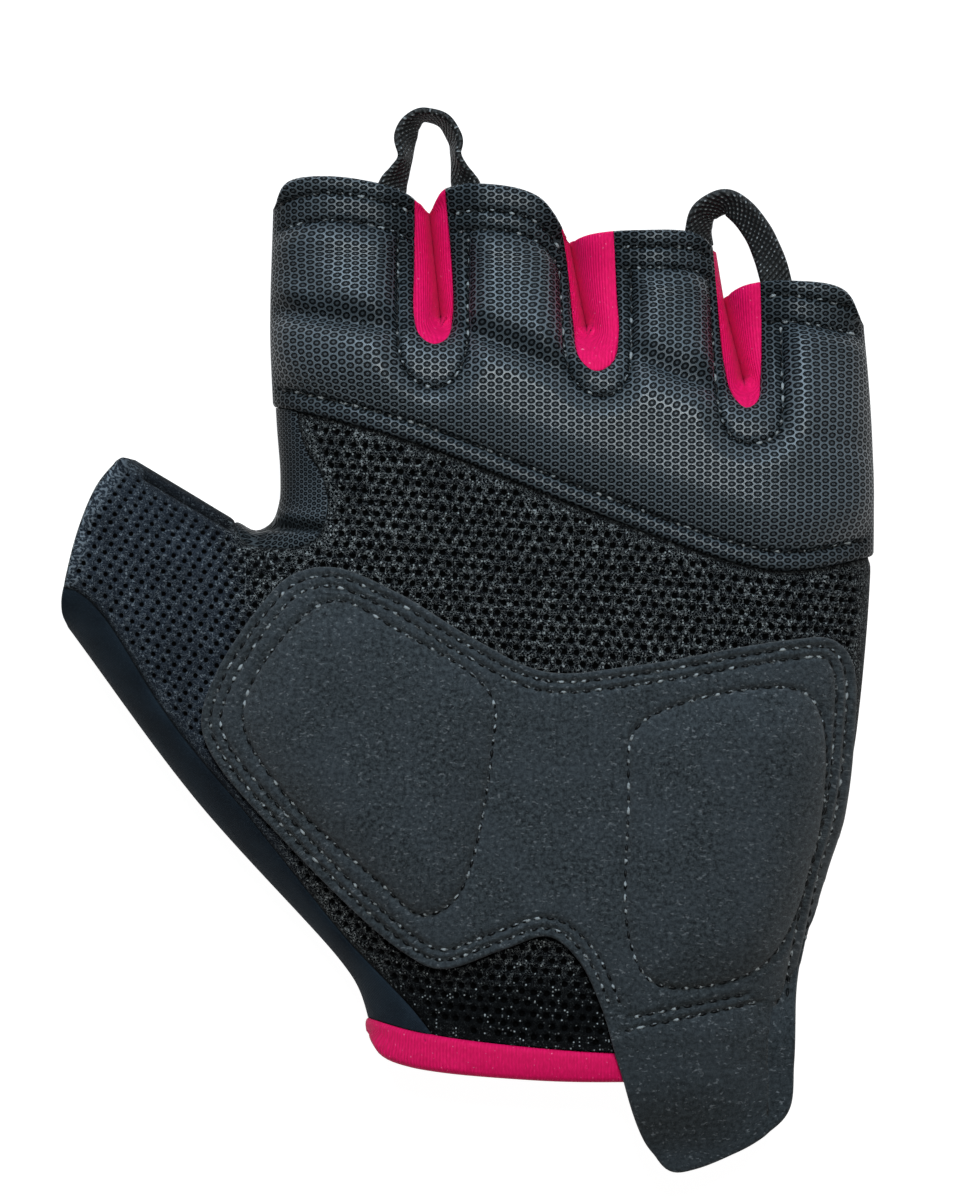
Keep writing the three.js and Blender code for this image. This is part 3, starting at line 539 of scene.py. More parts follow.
def hole_share(spots):
    """1 on the floor of a hole, 0 outside its rim."""
    return np.clip((HOLES["rim"] - to_hole(spots.xy)) / (HOLES["rim"] - HOLES["floor"]), 0, 1)


def beside_hole(spots):
    """1 at the rim of a hole, 0 where the mesh is as thick as it gets."""
    return 1 - np.clip((to_hole(spots.xy) - HOLES["rim"]) / 0.35, 0, 1)


def hole_points():
    """Plan points round each hole: its rim, its floor and its middle."""
    angles = np.linspace(0, 2 * math.pi, HOLES["sides"], endpoint=False)
    circle = np.stack([np.cos(angles), np.sin(angles)], axis=1)
    round_hole = circle * hole_sizes[:, None, None] * 1.001
    rings = [(holes[:, None] + round_hole * HOLES[size]).reshape(-1, 2) for size in ("rim", "floor")]
    return np.vstack([holes, *rings])


# Relief of each cloth

def swell(room):
    """Foam under cloth that is sewn down where there is no room: 0 there, 1 a roll further in."""
    return np.sin(np.clip(room, 0, 1) * math.pi / 2)


def grooves(spots, rows):
    return GROOVE["depth"] * dent(spots.far_from(*rows), GROOVE["width"])


def cloth_wave(spots, height):
    """Slight unevenness of hand-sewn cloth."""
    x, y = spots.xy[:, 0], spots.xy[:, 1]
    wave = np.sin(x / 5.1 + 1.7 * np.sin(y / 8.3)) + np.sin(y / 6.7 + 1.3 * np.sin(x / 9.1 + 2.0))
    return height * wave / 2


def leather_lift(spots):
    """Folded edges, stitch grooves and foam puffs of the leather."""
    hem = spots.far_from(hem_line)
    edge = spots.far_from(*gusset_lines)
    roll = LEATHER_PUFF["roll"]
    creases = [spots.far_from(line) for line in crease_lines]
    bend = np.prod([1 - crease["depth"] * (1 - swell(far / roll)) for crease, far in zip(CREASES, creases)],
                   axis=0)
    on_palm = ease(-above(spots.xy, np.vstack([line["line"] for line in CREASES[:4]])) / 3.0)
    rise = mix(LEATHER_PUFF["finger"], LEATHER_PUFF["palm"], on_palm)
    puff = rise * bend * swell((hem - ROWS["hem"]) / LEATHER_PUFF["hem_roll"])
    puff *= swell(tongue_room(spots) / roll) * swell(rim_room(spots) / roll)
    folded = 0.75 * round_over(hem / 0.8) * round_over(edge / 0.6)
    band = 0.25 * np.sin(math.pi * np.clip(hem / ROWS["hem"], 0, 1))
    band += 0.2 * np.sin(math.pi * np.clip(edge / ROWS["gusset"], 0, 1))
    relief = puff + band - grooves(spots, leather_seams) + cloth_wave(spots, 0.1)
    return folded - 0.35 + relief * swell(spots.to_side[0] / 4.5)


# Painted shade beside a line, from its share and width in the table.
def shadow(key, distance):
    share, width = PAINTED_SHADE[key]
    return share * dent(distance, width)


def leather_shade(spots):
    """How much painted shade darkens the leather in its stitch rows, sewn bands and creases, and down its
    sides.
    """
    beyond = tongue_room(spots)
    gusset_band = (0.1 + 0.35 * spots.finger) * (1 - ease(beyond / 1.2))
    hem_band = 0.35 * (1 - ease((spots.far_from(hem_line) - 2.2) / 1.2))
    rim_band = 0.15 + 0.15 * (1 - ease((rim_room(spots) + 0.8) / 1.4))
    pad_side = shadow("pad side", beyond - 1.0)
    bright = (1 - gusset_band) * (1 - hem_band) * (1 - shadow("leather side", spots.to_side[0]))
    share = 1 - bright * (1 - rim_band * spots.finger) * (1 - pad_side * spots.finger)
    for crease, line in zip(CREASES, crease_lines):
        share = np.maximum(share, crease["depth"] * shadow("crease", spots.far_from(line + CREASE_SHADOW)))
    return np.maximum(share, shadow("stitches", spots.far_from(*leather_seams)))


def mesh_shade(spots):
    """How much painted shade darkens the mesh beside its seams, in its folds and down its sides."""
    return np.max([shadow("under the hem", spots.far_from(hem_line)),
                   shadow("thumb hem", spots.far_from(thumb_fold)),
                   shadow("mesh seam", spots.far_from(crotch_line, back_line)),
                   shadow("thumb top", spots.far_from(thumb_top)),
                   shadow("mesh side", spots.to_side[0])], axis=0)


# Share for the painted glints along the thumb's open end: 1 beside it, fading out a few millimetres in.
def near_thumb_end(spots):
    return 1 - ease((spots.far_from(thumb_end) - 0.6) / 2.6)


def crotch_shade(spots):
    """How much painted shade darkens the crotch patch in its pinched fold, down its side and above its lip.
    """
    above_lip = 0.4 * ease((spots.xy[:, 1] - 22.0) / 5.0)
    return np.max([shadow("pinch", spots.far_from(pinch_line)), shadow("crotch side", spots.to_side[0]),
                   above_lip], axis=0)


def crotch_lift(spots):
    """The patch in the thumb's crotch, pinched into a fold."""
    seam = spots.far_from(crotch_line)
    pinch = spots.far_from(pinch_line)
    fold = 0.45 * dent(pinch - 1.6, 0.8) - dent(pinch, 0.7)
    return 0.5 * round_over(seam) - 0.5 + fold * swell(spots.to_side[0] / 2.0)


def mesh_lift(spots):
    seam = spots.far_from(back_line, crotch_line)
    hem = spots.far_from(hem_line)
    fold = spots.far_from(thumb_fold)
    open_end = spots.far_from(thumb_end)
    lift = 0.35 * round_over(seam / 0.9) - 0.35 - 0.45 * dent(hem, 0.9)
    lift -= 0.8 * dent(fold, 0.5) + 0.2 * dent(open_end - 1.6, 0.35) * swell(spots.to_side[0] / 4.0)
    lift -= HOLES["depth"] * hole_share(spots)
    return lift + cloth_wave(spots, 0.22) * swell(spots.to_side[0] / 5.0)


def back_lift(spots):
    seam = spots.far_from(back_line)
    return 0.35 * round_over(seam / 1.2) - 0.35


def gusset_lift(spots):
    edge = spots.far_from(*gusset_lines)
    slot = spots.to_slot[0]
    return 0.06 * (1 - swell(slot / 0.5)) - 0.55 * (1 - swell(edge / 2.0)) * swell(slot / 1.2)


def binding_lift(spots):
    edge = spots.far_from(binding_line)
    return mix(-0.3, BINDING_PROUD + 0.15, round_over(edge / 1.2))


def heel_lift(spots):
    """Foam pads and stitch grooves of the heel overlay, over its cloth."""
    edge = spots.far_from(loop_of(heel_line))
    lift = 0.2 * round_over(edge / 0.45) - 0.2 - grooves(spots, heel_seams)
    for line in pad_lines:
        distance = spots.far_from(loop_of(line))
        within = inside(spots.xy, line)
        lift += np.where(within, HEEL["rise"] * swell(distance / HEEL["roll"]), 0)
    return lift


# Plan triangles

def triangulate(lines, grid, keep_off, more=np.empty((0, 2))):
    """Triangles over a plan that follow every line, with more points and grid points between them."""
    points = [line for line, _ in lines]
    edges = []
    first = 0
    for line, closed in lines:
        last = first + len(line) - 1
        edges += [(k, k + 1) for k in range(first, last)] + ([(last, first)] if closed else [])
        first = last + 1
    points += [grid[keep_off(grid)], more]
    places = [Vector(p) for p in np.vstack(points)]
    found = delaunay_2d_cdt(places, edges, [], 0, 1e-6, False)
    return np.array([p[:] for p in found[0]], float), np.array(found[2])


def grid_over(line, spacing):
    low, high = line.min(axis=0), line.max(axis=0)
    x, y = np.meshgrid(np.arange(low[0], high[0], spacing), np.arange(low[1], high[1], spacing * 0.866))
    x = x + spacing / 2 * (np.arange(len(x)) % 2)[:, None]
    return np.stack([x.ravel(), y.ravel()], axis=1)


def row_lines(rows):
    """Plan lines along rows of stitches, with one more at each side of the groove."""
    offsets = (0, *ROW_RINGS, *(-ring for ring in ROW_RINGS))
    return [(sideways(row, offset), False) for row in rows for offset in offsets]


def glove_plan(fine):
    """Plan of the whole glove: fine with every seam and hole, or only as fine as its back needs."""
    lines = [(outline, True)]
    sides = [index_side, low_side, little_side[::-1], *slot_walls]
    for side in sides:
        lines += [(sideways(side, -distance), False) for distance in SIDE_RINGS]
    seams = [back_line, binding_line, *gusset_lines]
    rows = []
    if fine:
        seams += [hem_line, crotch_line]
        rows = [*leather_seams, thumb_fold]
    for seam in seams:
        lines += [(sideways(seam, distance), False) for ring in SEAM_RINGS for distance in (-ring, ring)]
        lines.append((seam, False))
    lines += row_lines(rows)
    spacing = GRID if fine else BACK_GRID

    def keep_off(grid):
        clear = nearest(grid, [loop_of(outline)[::2]])[0] > SIDE_RINGS[-1] + spacing / 2
        clear &= nearest(grid, [seam[::2] for seam in seams])[0] > SEAM_RINGS[-1] + spacing / 2
        if fine:
            clear &= nearest(grid, [row[::2] for row in leather_seams])[0] > ROW_RINGS[-1] + spacing / 2
            clear &= to_hole(grid) > HOLES["rim"] + 0.35
        return clear & inside(grid, outline)

    more = hole_points() if fine else np.empty((0, 2))
    places, triangles = triangulate(lines, grid_over(outline, spacing), keep_off, more)
    middles = places[triangles].mean(axis=1)
    return places, triangles[inside(middles, outline)]


def upward(places, triangles):
    """The triangles, turned so that they run anticlockwise seen from the front."""
    a, b, c = (places[triangles[:, k]] for k in range(3))
    area = (b[:, 0] - a[:, 0]) * (c[:, 1] - a[:, 1]) - (b[:, 1] - a[:, 1]) * (c[:, 0] - a[:, 0])
    triangles = np.where((area < 0)[:, None], triangles[:, ::-1], triangles)
    return triangles[np.abs(area) > 1e-7]


def point_normals(points, faces):
    a, b, c = (points[faces[:, k]] for k in range(3))
    across = np.cross(b - a, c - a)
    total = np.zeros_like(points)
    for k in range(3):
        np.add.at(total, faces[:, k], across)
    return unit(total)


def slope_normals(level, points, step):
    """Normals of a surface at plan points, from the function that gives its level."""
    slopes = [(level(points + shift) - level(points - shift)) / (2 * step)
              for shift in (np.array((step, 0)), np.array((0, step)))]
    return unit(np.column_stack([-slopes[0], -slopes[1], np.ones(len(points))]))


class Form:
    """The filled hand as one closed skin over the plan, front and back."""

    def __init__(self, fine):
        places, triangles = glove_plan(fine)
        triangles = upward(places, triangles)
        self.spots = Spots(places)
        self.count = len(places)
        on_edge = (self.spots.to_side[0] < 0.004) | (self.spots.to_slot[0] < 0.004)
        back_index = np.where(on_edge, np.arange(self.count), np.arange(self.count) + self.count)
        self.front_faces = triangles
        self.back_faces = back_index[triangles[:, ::-1]]
        front = np.column_stack([places, self.spots.front])
        back = np.column_stack([places, self.spots.back])
        self.points = np.vstack([front, back])
        self.normals = point_normals(self.points, np.vstack([self.front_faces, self.back_faces]))
        self.flat = np.vstack([flat_places(self.spots)] * 2)
        middles = Spots(places[triangles].mean(axis=1))
        self.regions = front_cloth(middles.xy)
        self.near_side = middles.to_side[0] < SEAM_AT_BACK
        self.near_slot = middles.to_slot[0] < GUSSET_AT_BACK

    def faces_of(self, name):
        """The faces of one cloth: its front, and where it turns round the side on to the back."""
        front = self.regions == name
        if name == "cuff_binding":
            back = front
        elif name == "back_panel":
            wrapped = self.near_side & (self.regions != "cuff_binding")
            sewn_in = self.near_slot & np.char.startswith(self.regions, "gusset")
            back = ~(wrapped | sewn_in | (self.regions == "cuff_binding")) | (self.near_side & front)
        elif name.startswith("gusset"):
            back = front & self.near_slot
        else:
            back = front & self.near_side
        return np.vstack([self.front_faces[front], self.back_faces[back]])


# Meshes

def placed(name, data, place=(0, 0, 0)):
    thing = bpy.data.objects.new(name, data)
    thing.location = place
    bpy.context.scene.collection.objects.link(thing)
    return thing


def make_object(name, points, faces, flat, material):
    """A mesh object from points in millimetres, with its flat places as a UV map."""
    mesh = bpy.data.meshes.new(name)
    size = faces.shape[1]
    mesh.vertices.add(len(points))
    mesh.vertices.foreach_set("co", (points * MM).astype(np.float32).ravel())
    mesh.loops.add(faces.size)
    mesh.loops.foreach_set("vertex_index", faces.astype(np.int32).ravel())
    mesh.polygons.add(len(faces))
    mesh.polygons.foreach_set("loop_start", np.arange(0, faces.size, size, dtype=np.int32))
    mesh.update(calc_edges=True)
    mesh.validate()
    layer = mesh.uv_layers.new(name="Flat")
    corners = np.empty(len(mesh.loops), np.int32)
    mesh.loops.foreach_get("vertex_index", corners)
    layer.data.foreach_set("uv", (flat[corners] / 100).astype(np.float32).ravel())
    mesh.polygons.foreach_set("use_smooth", np.full(len(mesh.polygons), True))
    mesh.materials.append(material)
    return placed(name, mesh)


def shell(name, faces, outer, inner, flat, material, bulge):
    """A closed cloth: outer face, inner face, and an edge between them that bulges by bulge."""
    count = len(outer)
    runs = np.vstack([faces[:, [0, 1]], faces[:, [1, 2]], faces[:, [2, 0]]])
    forward = runs[:, 0].astype(np.int64) * count + runs[:, 1]
    backward = runs[:, 1].astype(np.int64) * count + runs[:, 0]
    rim = runs[~np.isin(forward, backward)]
    run = outer[rim[:, 1]] - outer[rim[:, 0]]
    depth = inner - outer
    out = np.zeros_like(outer)
    for k in range(2):
        np.add.at(out, rim[:, k], np.cross(depth[rim[:, k]], run))
    out = unit(out)
    ring = np.unique(rim)
    place = np.full(count, -1)
    place[ring] = np.arange(len(ring))
    rows = [outer, inner]
    flats = [flat, flat]
    shares = (0.25, 0.5, 0.75)
    spread = out[ring, :2] * np.linalg.norm(depth[ring], axis=1)[:, None]
    for share in shares:
        turn = math.pi * share
        swollen = out[ring] * (bulge[ring] * math.sin(turn))[:, None]
        rows.append(outer[ring] + depth[ring] * (1 - math.cos(turn)) / 2 + swollen)
        flats.append(flat[ring] + spread * min(share, 1 - share))
    starts = [2 * count + k * len(ring) for k in range(len(shares))]
    a, b = rim[:, 0], rim[:, 1]
    levels = [(a, b)] + [(start + place[a], start + place[b]) for start in starts] + [(count + a, count + b)]
    skins = [faces, faces[:, ::-1] + count]
    for (a0, b0), (a1, b1) in zip(levels[:-1], levels[1:]):
        skins += [np.column_stack([b0, a0, a1]), np.column_stack([b0, a1, b1])]
    return make_object(name, np.vstack(rows), np.vstack(skins), np.vstack(flats), material)


def stitch_rows(name, rows, surface, material, pitch):
    """Thread along rows of stitches: each comes up out of the cloth and goes down into it."""
    lines = [even(np.asarray(row, float), pitch) for row in rows]
    start = np.vstack([line[:-1] for line in lines])
    end = np.vstack([line[1:] for line in lines])
    normal = surface((start + end) / 2)[1]
    sides, sizes = STITCH["sides"], STITCH["sizes"]
    centres = []
    for share in np.linspace(*STITCH["span"], len(sizes)):
        place, _ = surface(mix(start, end, share))
        centres.append(place + normal * (STITCH["proud"] - STITCH["dip"] * (2 * share - 1) ** 2))
    across = np.cross(unit(centres[-1] - centres[0]), normal)
    rings = []
    for centre, size in zip(centres, sizes):
        for angle in np.linspace(0, 2 * math.pi, sides, endpoint=False):
            offset = math.cos(angle) * normal + math.sin(angle) * across
            rings.append(centre + offset * STITCH["radius"] * size)
    points = np.stack(rings, axis=1)
    tube = tube_faces(sides, len(sizes))
    per_stitch = points.shape[1]
    faces = (tube[None] + per_stitch * np.arange(len(start))[:, None, None]).reshape(-1, 3)
    points = points.reshape(-1, 3)
    return make_object(name, points, faces, points[:, :2], material)


def tube_faces(sides, rings):
    """Triangles round a tube of rings, with a flat end at each side."""
    ring = np.arange(sides)
    around = np.roll(ring, -1)
    faces = []
    for low in range(0, (rings - 1) * sides, sides):
        high = low + sides
        faces += [np.column_stack([low + ring, low + around, high + around]),
                  np.column_stack([low + ring, high + around, high + ring])]
    fan = np.column_stack([np.zeros(sides - 2, int), ring[1:-1], ring[2:]])
    return np.vstack([*faces, fan[:, ::-1], fan + (rings - 1) * sides])


# Materials

class Finish:
    """A procedural material, built up from nodes."""

    def __init__(self, name, **shader):
        self.material = bpy.data.materials.new(name)
        self.material.use_nodes = True
        self.tree = self.material.node_tree
        self.shader = self.tree.nodes["Principled BSDF"]
        for socket, value in shader.items():
            self.shader.inputs[socket.replace("_", " ")].default_value = value
        flat = self.add("ShaderNodeUVMap", uv_map="Flat")
        self.flat = self.vector("SCALE", flat.outputs["UV"], scale=100)

    def add(self, kind, **settings):
        node = self.tree.nodes.new(kind)
        for key, value in settings.items():
            setattr(node, key, value)
        return node

    def put(self, socket, value):
        if isinstance(value, bpy.types.NodeSocket):
            self.tree.links.new(value, socket)
        else:
            socket.default_value = value

    def maths(self, operation, *values):
        node = self.add("ShaderNodeMath", operation=operation)
        for socket, value in zip(node.inputs, values):
            self.put(socket, value)
        return node.outputs[0]

    def times(self, a, b):
        return self.maths("MULTIPLY", a, b)

    def plus(self, a, b):
        return self.maths("ADD", a, b)

    def wave(self, value):
        """A sine between 0 and 1."""
        return self.plus(self.times(self.maths("SINE", value), 0.5), 0.5)

    def along(self, x, y):
        """Place along a direction of the flat cloth."""
        return self.vector("DOT_PRODUCT", self.flat, (x, y, 0.0))

    def stretched(self, shift, stretch):
        return self.vector("MULTIPLY", self.vector("ADD", self.flat, shift), stretch)

    def vector(self, operation, *values, scale=None):
        node = self.add("ShaderNodeVectorMath", operation=operation)
        for socket, value in zip(node.inputs, values):
            self.put(socket, value)
        if scale is not None:
            node.inputs["Scale"].default_value = scale
        return node.outputs["Value"] if operation in ("LENGTH", "DOT_PRODUCT") else node.outputs["Vector"]

    def ramp(self, value, low, high, to_low=0.0, to_high=1.0):
        node = self.add("ShaderNodeMapRange", interpolation_type="SMOOTHSTEP")
        for socket, item in zip(node.inputs, (value, low, high, to_low, to_high)):
            self.put(socket, item)
        return node.outputs["Result"]

    def noise(self, scale, detail=2.0, at=None, roughness=0.5):
        node = self.add("ShaderNodeTexNoise")
        self.put(node.inputs["Vector"], self.flat if at is None else at)
        node.inputs["Scale"].default_value = scale
        node.inputs["Detail"].default_value = detail
        node.inputs["Roughness"].default_value = roughness
        return node.outputs["Fac"]

    def cells(self, scale):
        node = self.add("ShaderNodeTexVoronoi")
        self.put(node.inputs["Vector"], self.flat)
        node.inputs["Scale"].default_value = scale
        return node.outputs["Distance"], node.outputs["Color"]

    def lattice(self, wide, high, squash):
        """Distance to the nearest centre of a staggered lattice, with heights counted squash times."""
        found = []
        for shift in (0.0, 0.5):
            place = self.vector("MULTIPLY", self.flat, (1 / wide, 1 / high, 0))
            place = self.vector("FRACTION", self.vector("ADD", place, (shift, shift, 0)))
            place = self.vector("SUBTRACT", place, (0.5, 0.5, 0))
            found.append(self.vector("LENGTH", self.vector("MULTIPLY", place, (wide, high * squash, 0))))
        return self.maths("MINIMUM", *found)

    def share(self, key):
        return self.add("ShaderNodeAttribute", attribute_name=key).outputs["Fac"]

    def colour(self, share, low, high):
        node = self.add("ShaderNodeMix", data_type="RGBA")
        self.put(node.inputs[0], share)
        self.put(node.inputs[6], low if isinstance(low, bpy.types.NodeSocket) else (*low, 1))
        self.put(node.inputs[7], high if isinstance(high, bpy.types.NodeSocket) else (*high, 1))
        return node.outputs[2]

    def finish(self, colour, height, depth, roughness=None):
        """Colour and relief into the shader; depth is the relief in millimetres."""
        self.put(self.shader.inputs["Base Color"], colour)
        if roughness is not None:
            self.put(self.shader.inputs["Roughness"], roughness)
        bump = self.add("ShaderNodeBump")
        bump.inputs["Distance"].default_value = depth * MM
        self.put(bump.inputs["Height"], height)
        self.put(self.shader.inputs["Normal"], bump.outputs["Normal"])
        return self.material


def leather_finish(name, pitch, shine, specular):
    """Leather embossed with a staggered lattice of oval dimples, each with a small bump inside."""
    made = Finish(name)
    wide, high = pitch
    near = made.lattice(wide, high, DIMPLE["squash"])
    ridge, crest, bump = (made.ramp(near, *(wide / DIMPLE["wide"] * size for size in DIMPLE[part]), 0.0, top)
                          for part, top in (("ridge", 1.0), ("crest", 1.0), ("bump", 0.55)))
    height = made.maths("MAXIMUM", ridge, bump)
    tone = made.maths("MAXIMUM", crest, bump)
    patches = made.noise(0.11, 2.0)
    low = made.colour(patches, (0.002, 0.0025, 0.003), (0.004, 0.005, 0.007))
    # Crests and bumps lighter, dimples near black: the emboss's tone, with painted highlights and painted
    # shade.
    dull, bright = np.array((0.050, 0.060, 0.066)) * shine, np.array((0.062, 0.080, 0.096)) * shine
    body = made.colour(tone, low, made.colour(patches, dull, bright))
    grain = made.noise(6.0, 2.0)
    relief = made.plus(height, made.times(grain, 0.15))
    # Painted shade from the shade mark darkens the colour and dulls the gloss.
    shade = made.share("shade")
    body = made.colour(made.times(shade, 0.88), body, (0.002, 0.0025, 0.0025))
    gloss = made.times(made.ramp(shade, 0.0, 0.7, specular, 0.06), made.ramp(tone, 0.0, 1.0, 0.3, 1.0))
    made.put(made.shader.inputs["Specular IOR Level"], gloss)
    return made.finish(body, relief, 0.28, made.ramp(height, 0.0, 1.0, 0.6, 0.36))


def mesh_finish():
    """Knitted air mesh: near-black holes in a net of yarns with painted highlights, finer and bluer on the
    thumb.
    """
    made = Finish("air mesh", Roughness=0.7, Specular_IOR_Level=0.03)
    solid = made.ramp(made.share("hole"), 0.75, 0.1)
    thumb = made.ramp(made.share("thumb"), 0.25, 0.7)
    # Yarn strands, which also give the bump; their colour is painted highlight, dimmer beside the holes and
    # in patches.
    strands = []
    for scale, stretch, shift in ((1.35, (1.0, 1.3, 1.0), 0.0), (1.5, (1.3, 1.0, 1.0), 31.0)):
        tangle = made.noise(scale, 1.0, made.stretched((shift, shift, 0), stretch))
        swing = made.maths("ABSOLUTE", made.maths("SUBTRACT", tangle, 0.5))
        strands.append(made.ramp(swing, 0.025, 0.003))
    yarn = made.maths("MAXIMUM", *strands)
    yarn = made.times(yarn, made.ramp(made.share("beside"), 0.0, 1.0, 1.0, 0.45))
    yarn = made.times(yarn, made.ramp(made.noise(1.5, 1.0), 0.38, 0.6, 0.3, 1.0))
    # Painted glints along the thumb's open end.
    painted_end_glints = made.times(made.share("end"), made.ramp(made.noise(1.9, 1.0, roughness=0.2), 0.5, 0.6))
    yarn = made.maths("MAXIMUM", yarn, made.times(painted_end_glints, 0.8))
    # Patchy tone, and painted shade that darkens the mesh towards the cuff.
    patches = made.ramp(made.noise(0.12, 2.0), 0.35, 0.65, 0.75, 1.0)
    lit = made.times(patches, made.ramp(made.along(0.0, 1.0), -57.0, -42.0, 0.07, 1.0))
    yarn_highlight_colour = made.colour(thumb, (0.34, 0.37, 0.38), (0.16, 0.19, 0.22))
    ground = made.colour(thumb, (0.0018, 0.0022, 0.003), (0.0115, 0.0155, 0.022))
    ground = made.colour(lit, (0.0012, 0.0015, 0.0018), ground)
    body = made.colour(made.times(yarn, lit), ground, yarn_highlight_colour)
    # Painted glints: small bright spots here and there, dimmer on the thumb.
    distance, tint = made.cells(2.2)
    pick = made.ramp(made.vector("DOT_PRODUCT", tint, (1.0, 0.0, 0.0)), 0.72, 0.95, 0.0, 0.8)
    glint = made.times(made.ramp(distance, 0.4, 0.1), pick)
    body = made.colour(glint, body, made.colour(thumb, (0.34, 0.37, 0.38), (0.10, 0.12, 0.14)))
    # Painted shade from the shade mark.
    body = made.colour(made.times(made.share("shade"), 0.9), body, (0.001, 0.0012, 0.0014))
    # The holes are painted near black, as painted shade in them.
    return made.finish(made.colour(solid, (0.0004, 0.0005, 0.0006), body), yarn, 0.12)


def suede_finish():
    """Microfibre suede: charcoal nap with pale fuzz."""
    made = Finish("microfibre suede", Roughness=0.95, Specular_IOR_Level=0.1, Sheen_Weight=0.08,
                  Sheen_Roughness=0.5)
    nap = made.noise(1.5, 6.0, roughness=0.8)
    patches = made.noise(0.13, 3.0)
    body = made.colour(made.ramp(nap, 0.36, 0.66), (0.005, 0.0065, 0.008), (0.041, 0.050, 0.056))
    body = made.colour(made.ramp(patches, 0.35, 0.7, 0.0, 0.3), body, (0.036, 0.044, 0.053))
    # Painted shade: darker towards the wrist.
    body = made.colour(made.ramp(made.along(0.0, 1.0), -30.0, -75.0, 0.0, 0.4), body, (0.008, 0.010, 0.011))
    strand = made.noise(1.5, 2.0, made.stretched((40, 7, 3), (1.0, 1.6, 1.0)))
    fuzz = made.ramp(strand, 0.60, 0.74, 0.0, 0.6)
    return made.finish(made.colour(fuzz, body, (0.12, 0.13, 0.14)), nap, 0.2)


def lycra_finish(name, painted_brightness):
    """Crimson stretch fabric with fine ribs along the fingers."""
    made = Finish(name, Roughness=0.7, Specular_IOR_Level=0.1, Sheen_Weight=0.03,
                  Sheen_Roughness=0.4, Sheen_Tint=(1.0, 0.35, 0.5, 1.0))
    rib = made.wave(made.times(made.along(1.0, 0.0), 12.0))
    grain = made.noise(3.0, 3.0, made.vector("MULTIPLY", made.flat, (1.0, 0.4, 1.0)))
    colours = np.array([(0.46, 0.002, 0.062), (0.60, 0.003, 0.088), (0.38, 0.001, 0.05)])
    # The colours are scaled by a brightness: above 1 for a copy painted brighter as painted light.
    dull, bright, furrow = painted_brightness * colours
    body = made.colour(made.ramp(grain, 0.3, 0.75), dull, bright)
    body = made.colour(made.times(rib, 0.35), body, furrow)
    speck = made.ramp(made.noise(2.2, 1.0), 0.70, 0.78, 0.0, 0.4)
    height = made.plus(made.times(rib, 0.6), made.times(grain, 0.4))
    return made.finish(made.colour(speck, body, (0.8, 0.25, 0.4)), height, 0.1)


def stretch_finish():
    """Smooth navy-black stretch fabric of the back, with a fine knit."""
    made = Finish("stretch fabric", Roughness=0.85, Specular_IOR_Level=0.05, Sheen_Weight=0.03,
                  Sheen_Roughness=0.4)
    wale = made.maths("SINE", made.times(made.along(1.0, 0.0), 13.0))
    course = made.maths("SINE", made.times(made.along(0.0, 1.0), 17.0))
    knit = made.plus(made.times(made.times(wale, course), 0.25), 0.5)
    patches = made.noise(0.12, 3.0)
    grain = made.noise(3.0, 4.0, roughness=0.65)
    body = made.colour(made.ramp(patches, 0.3, 0.7), (0.005, 0.008, 0.012), (0.009, 0.015, 0.022))
    body = made.colour(made.ramp(grain, 0.45, 0.8, 0.0, 0.5), body, (0.022, 0.032, 0.042))
    return made.finish(body, made.plus(knit, made.times(grain, 0.5)), 0.09)


def webbing_finish():
    """Black twill tape: broken diagonal ribs, pale in patches from painted highlights on their crowns."""
    made = Finish("twill webbing", Roughness=0.6, Specular_IOR_Level=0.3)
    wander = made.times(made.noise(0.9, 2.0), 2.4)
    rib = made.wave(made.plus(made.along(5.2, 7.4), wander))
    tuft = made.wave(made.plus(made.along(7.0, -4.0), wander))
    weave = made.times(rib, made.plus(made.times(tuft, 0.6), 0.4))
    chosen = made.ramp(made.noise(1.6, 2.0), 0.45, 0.65)
    # Painted highlights on the crowns of the ribs, in patches.
    lit = made.times(made.ramp(weave, 0.55, 0.95), made.times(chosen, 0.8))
    body = made.colour(weave, (0.0015, 0.0018, 0.0022), (0.018, 0.020, 0.021))
    return made.finish(made.colour(lit, body, (0.24, 0.26, 0.27)), weave, 0.2)


def thread_finish():
    """Black sewing thread with painted glints here and there."""
    made = Finish("thread", Roughness=0.5, Specular_IOR_Level=0.15)
    ply = made.noise(0.9, 2.0)
    # The pale parts of the ply are painted glints.
    body = made.colour(made.ramp(ply, 0.50, 0.63), (0.002, 0.0025, 0.003), (0.20, 0.22, 0.23))
    return made.finish(body, ply, 0.05)


LEATHER = leather_finish("embossed leather", (DIMPLE["wide"], 1.02), 1.22, 0.44)
CROTCH_LEATHER = leather_finish("finely embossed leather", (1.75, 0.73), 0.95, 0.14)
AIR_MESH = mesh_finish()
SUEDE = suede_finish()
LYCRA = lycra_finish("crimson lycra", 1.0)
# The gussets' copy is painted brighter: painted light that offsets the shade of their valleys.
WEB_LYCRA_PAINTED_BRIGHTER = lycra_finish("crimson lycra of the gussets, painted brighter", 1.15)
STRETCH = stretch_finish()
TAPE = webbing_finish()
THREAD = thread_finish()

form = Form(fine=True)
back_form = Form(fine=False)


def stand_for(piece, node):
    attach(piece, "root")
    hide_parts(node)
    return piece


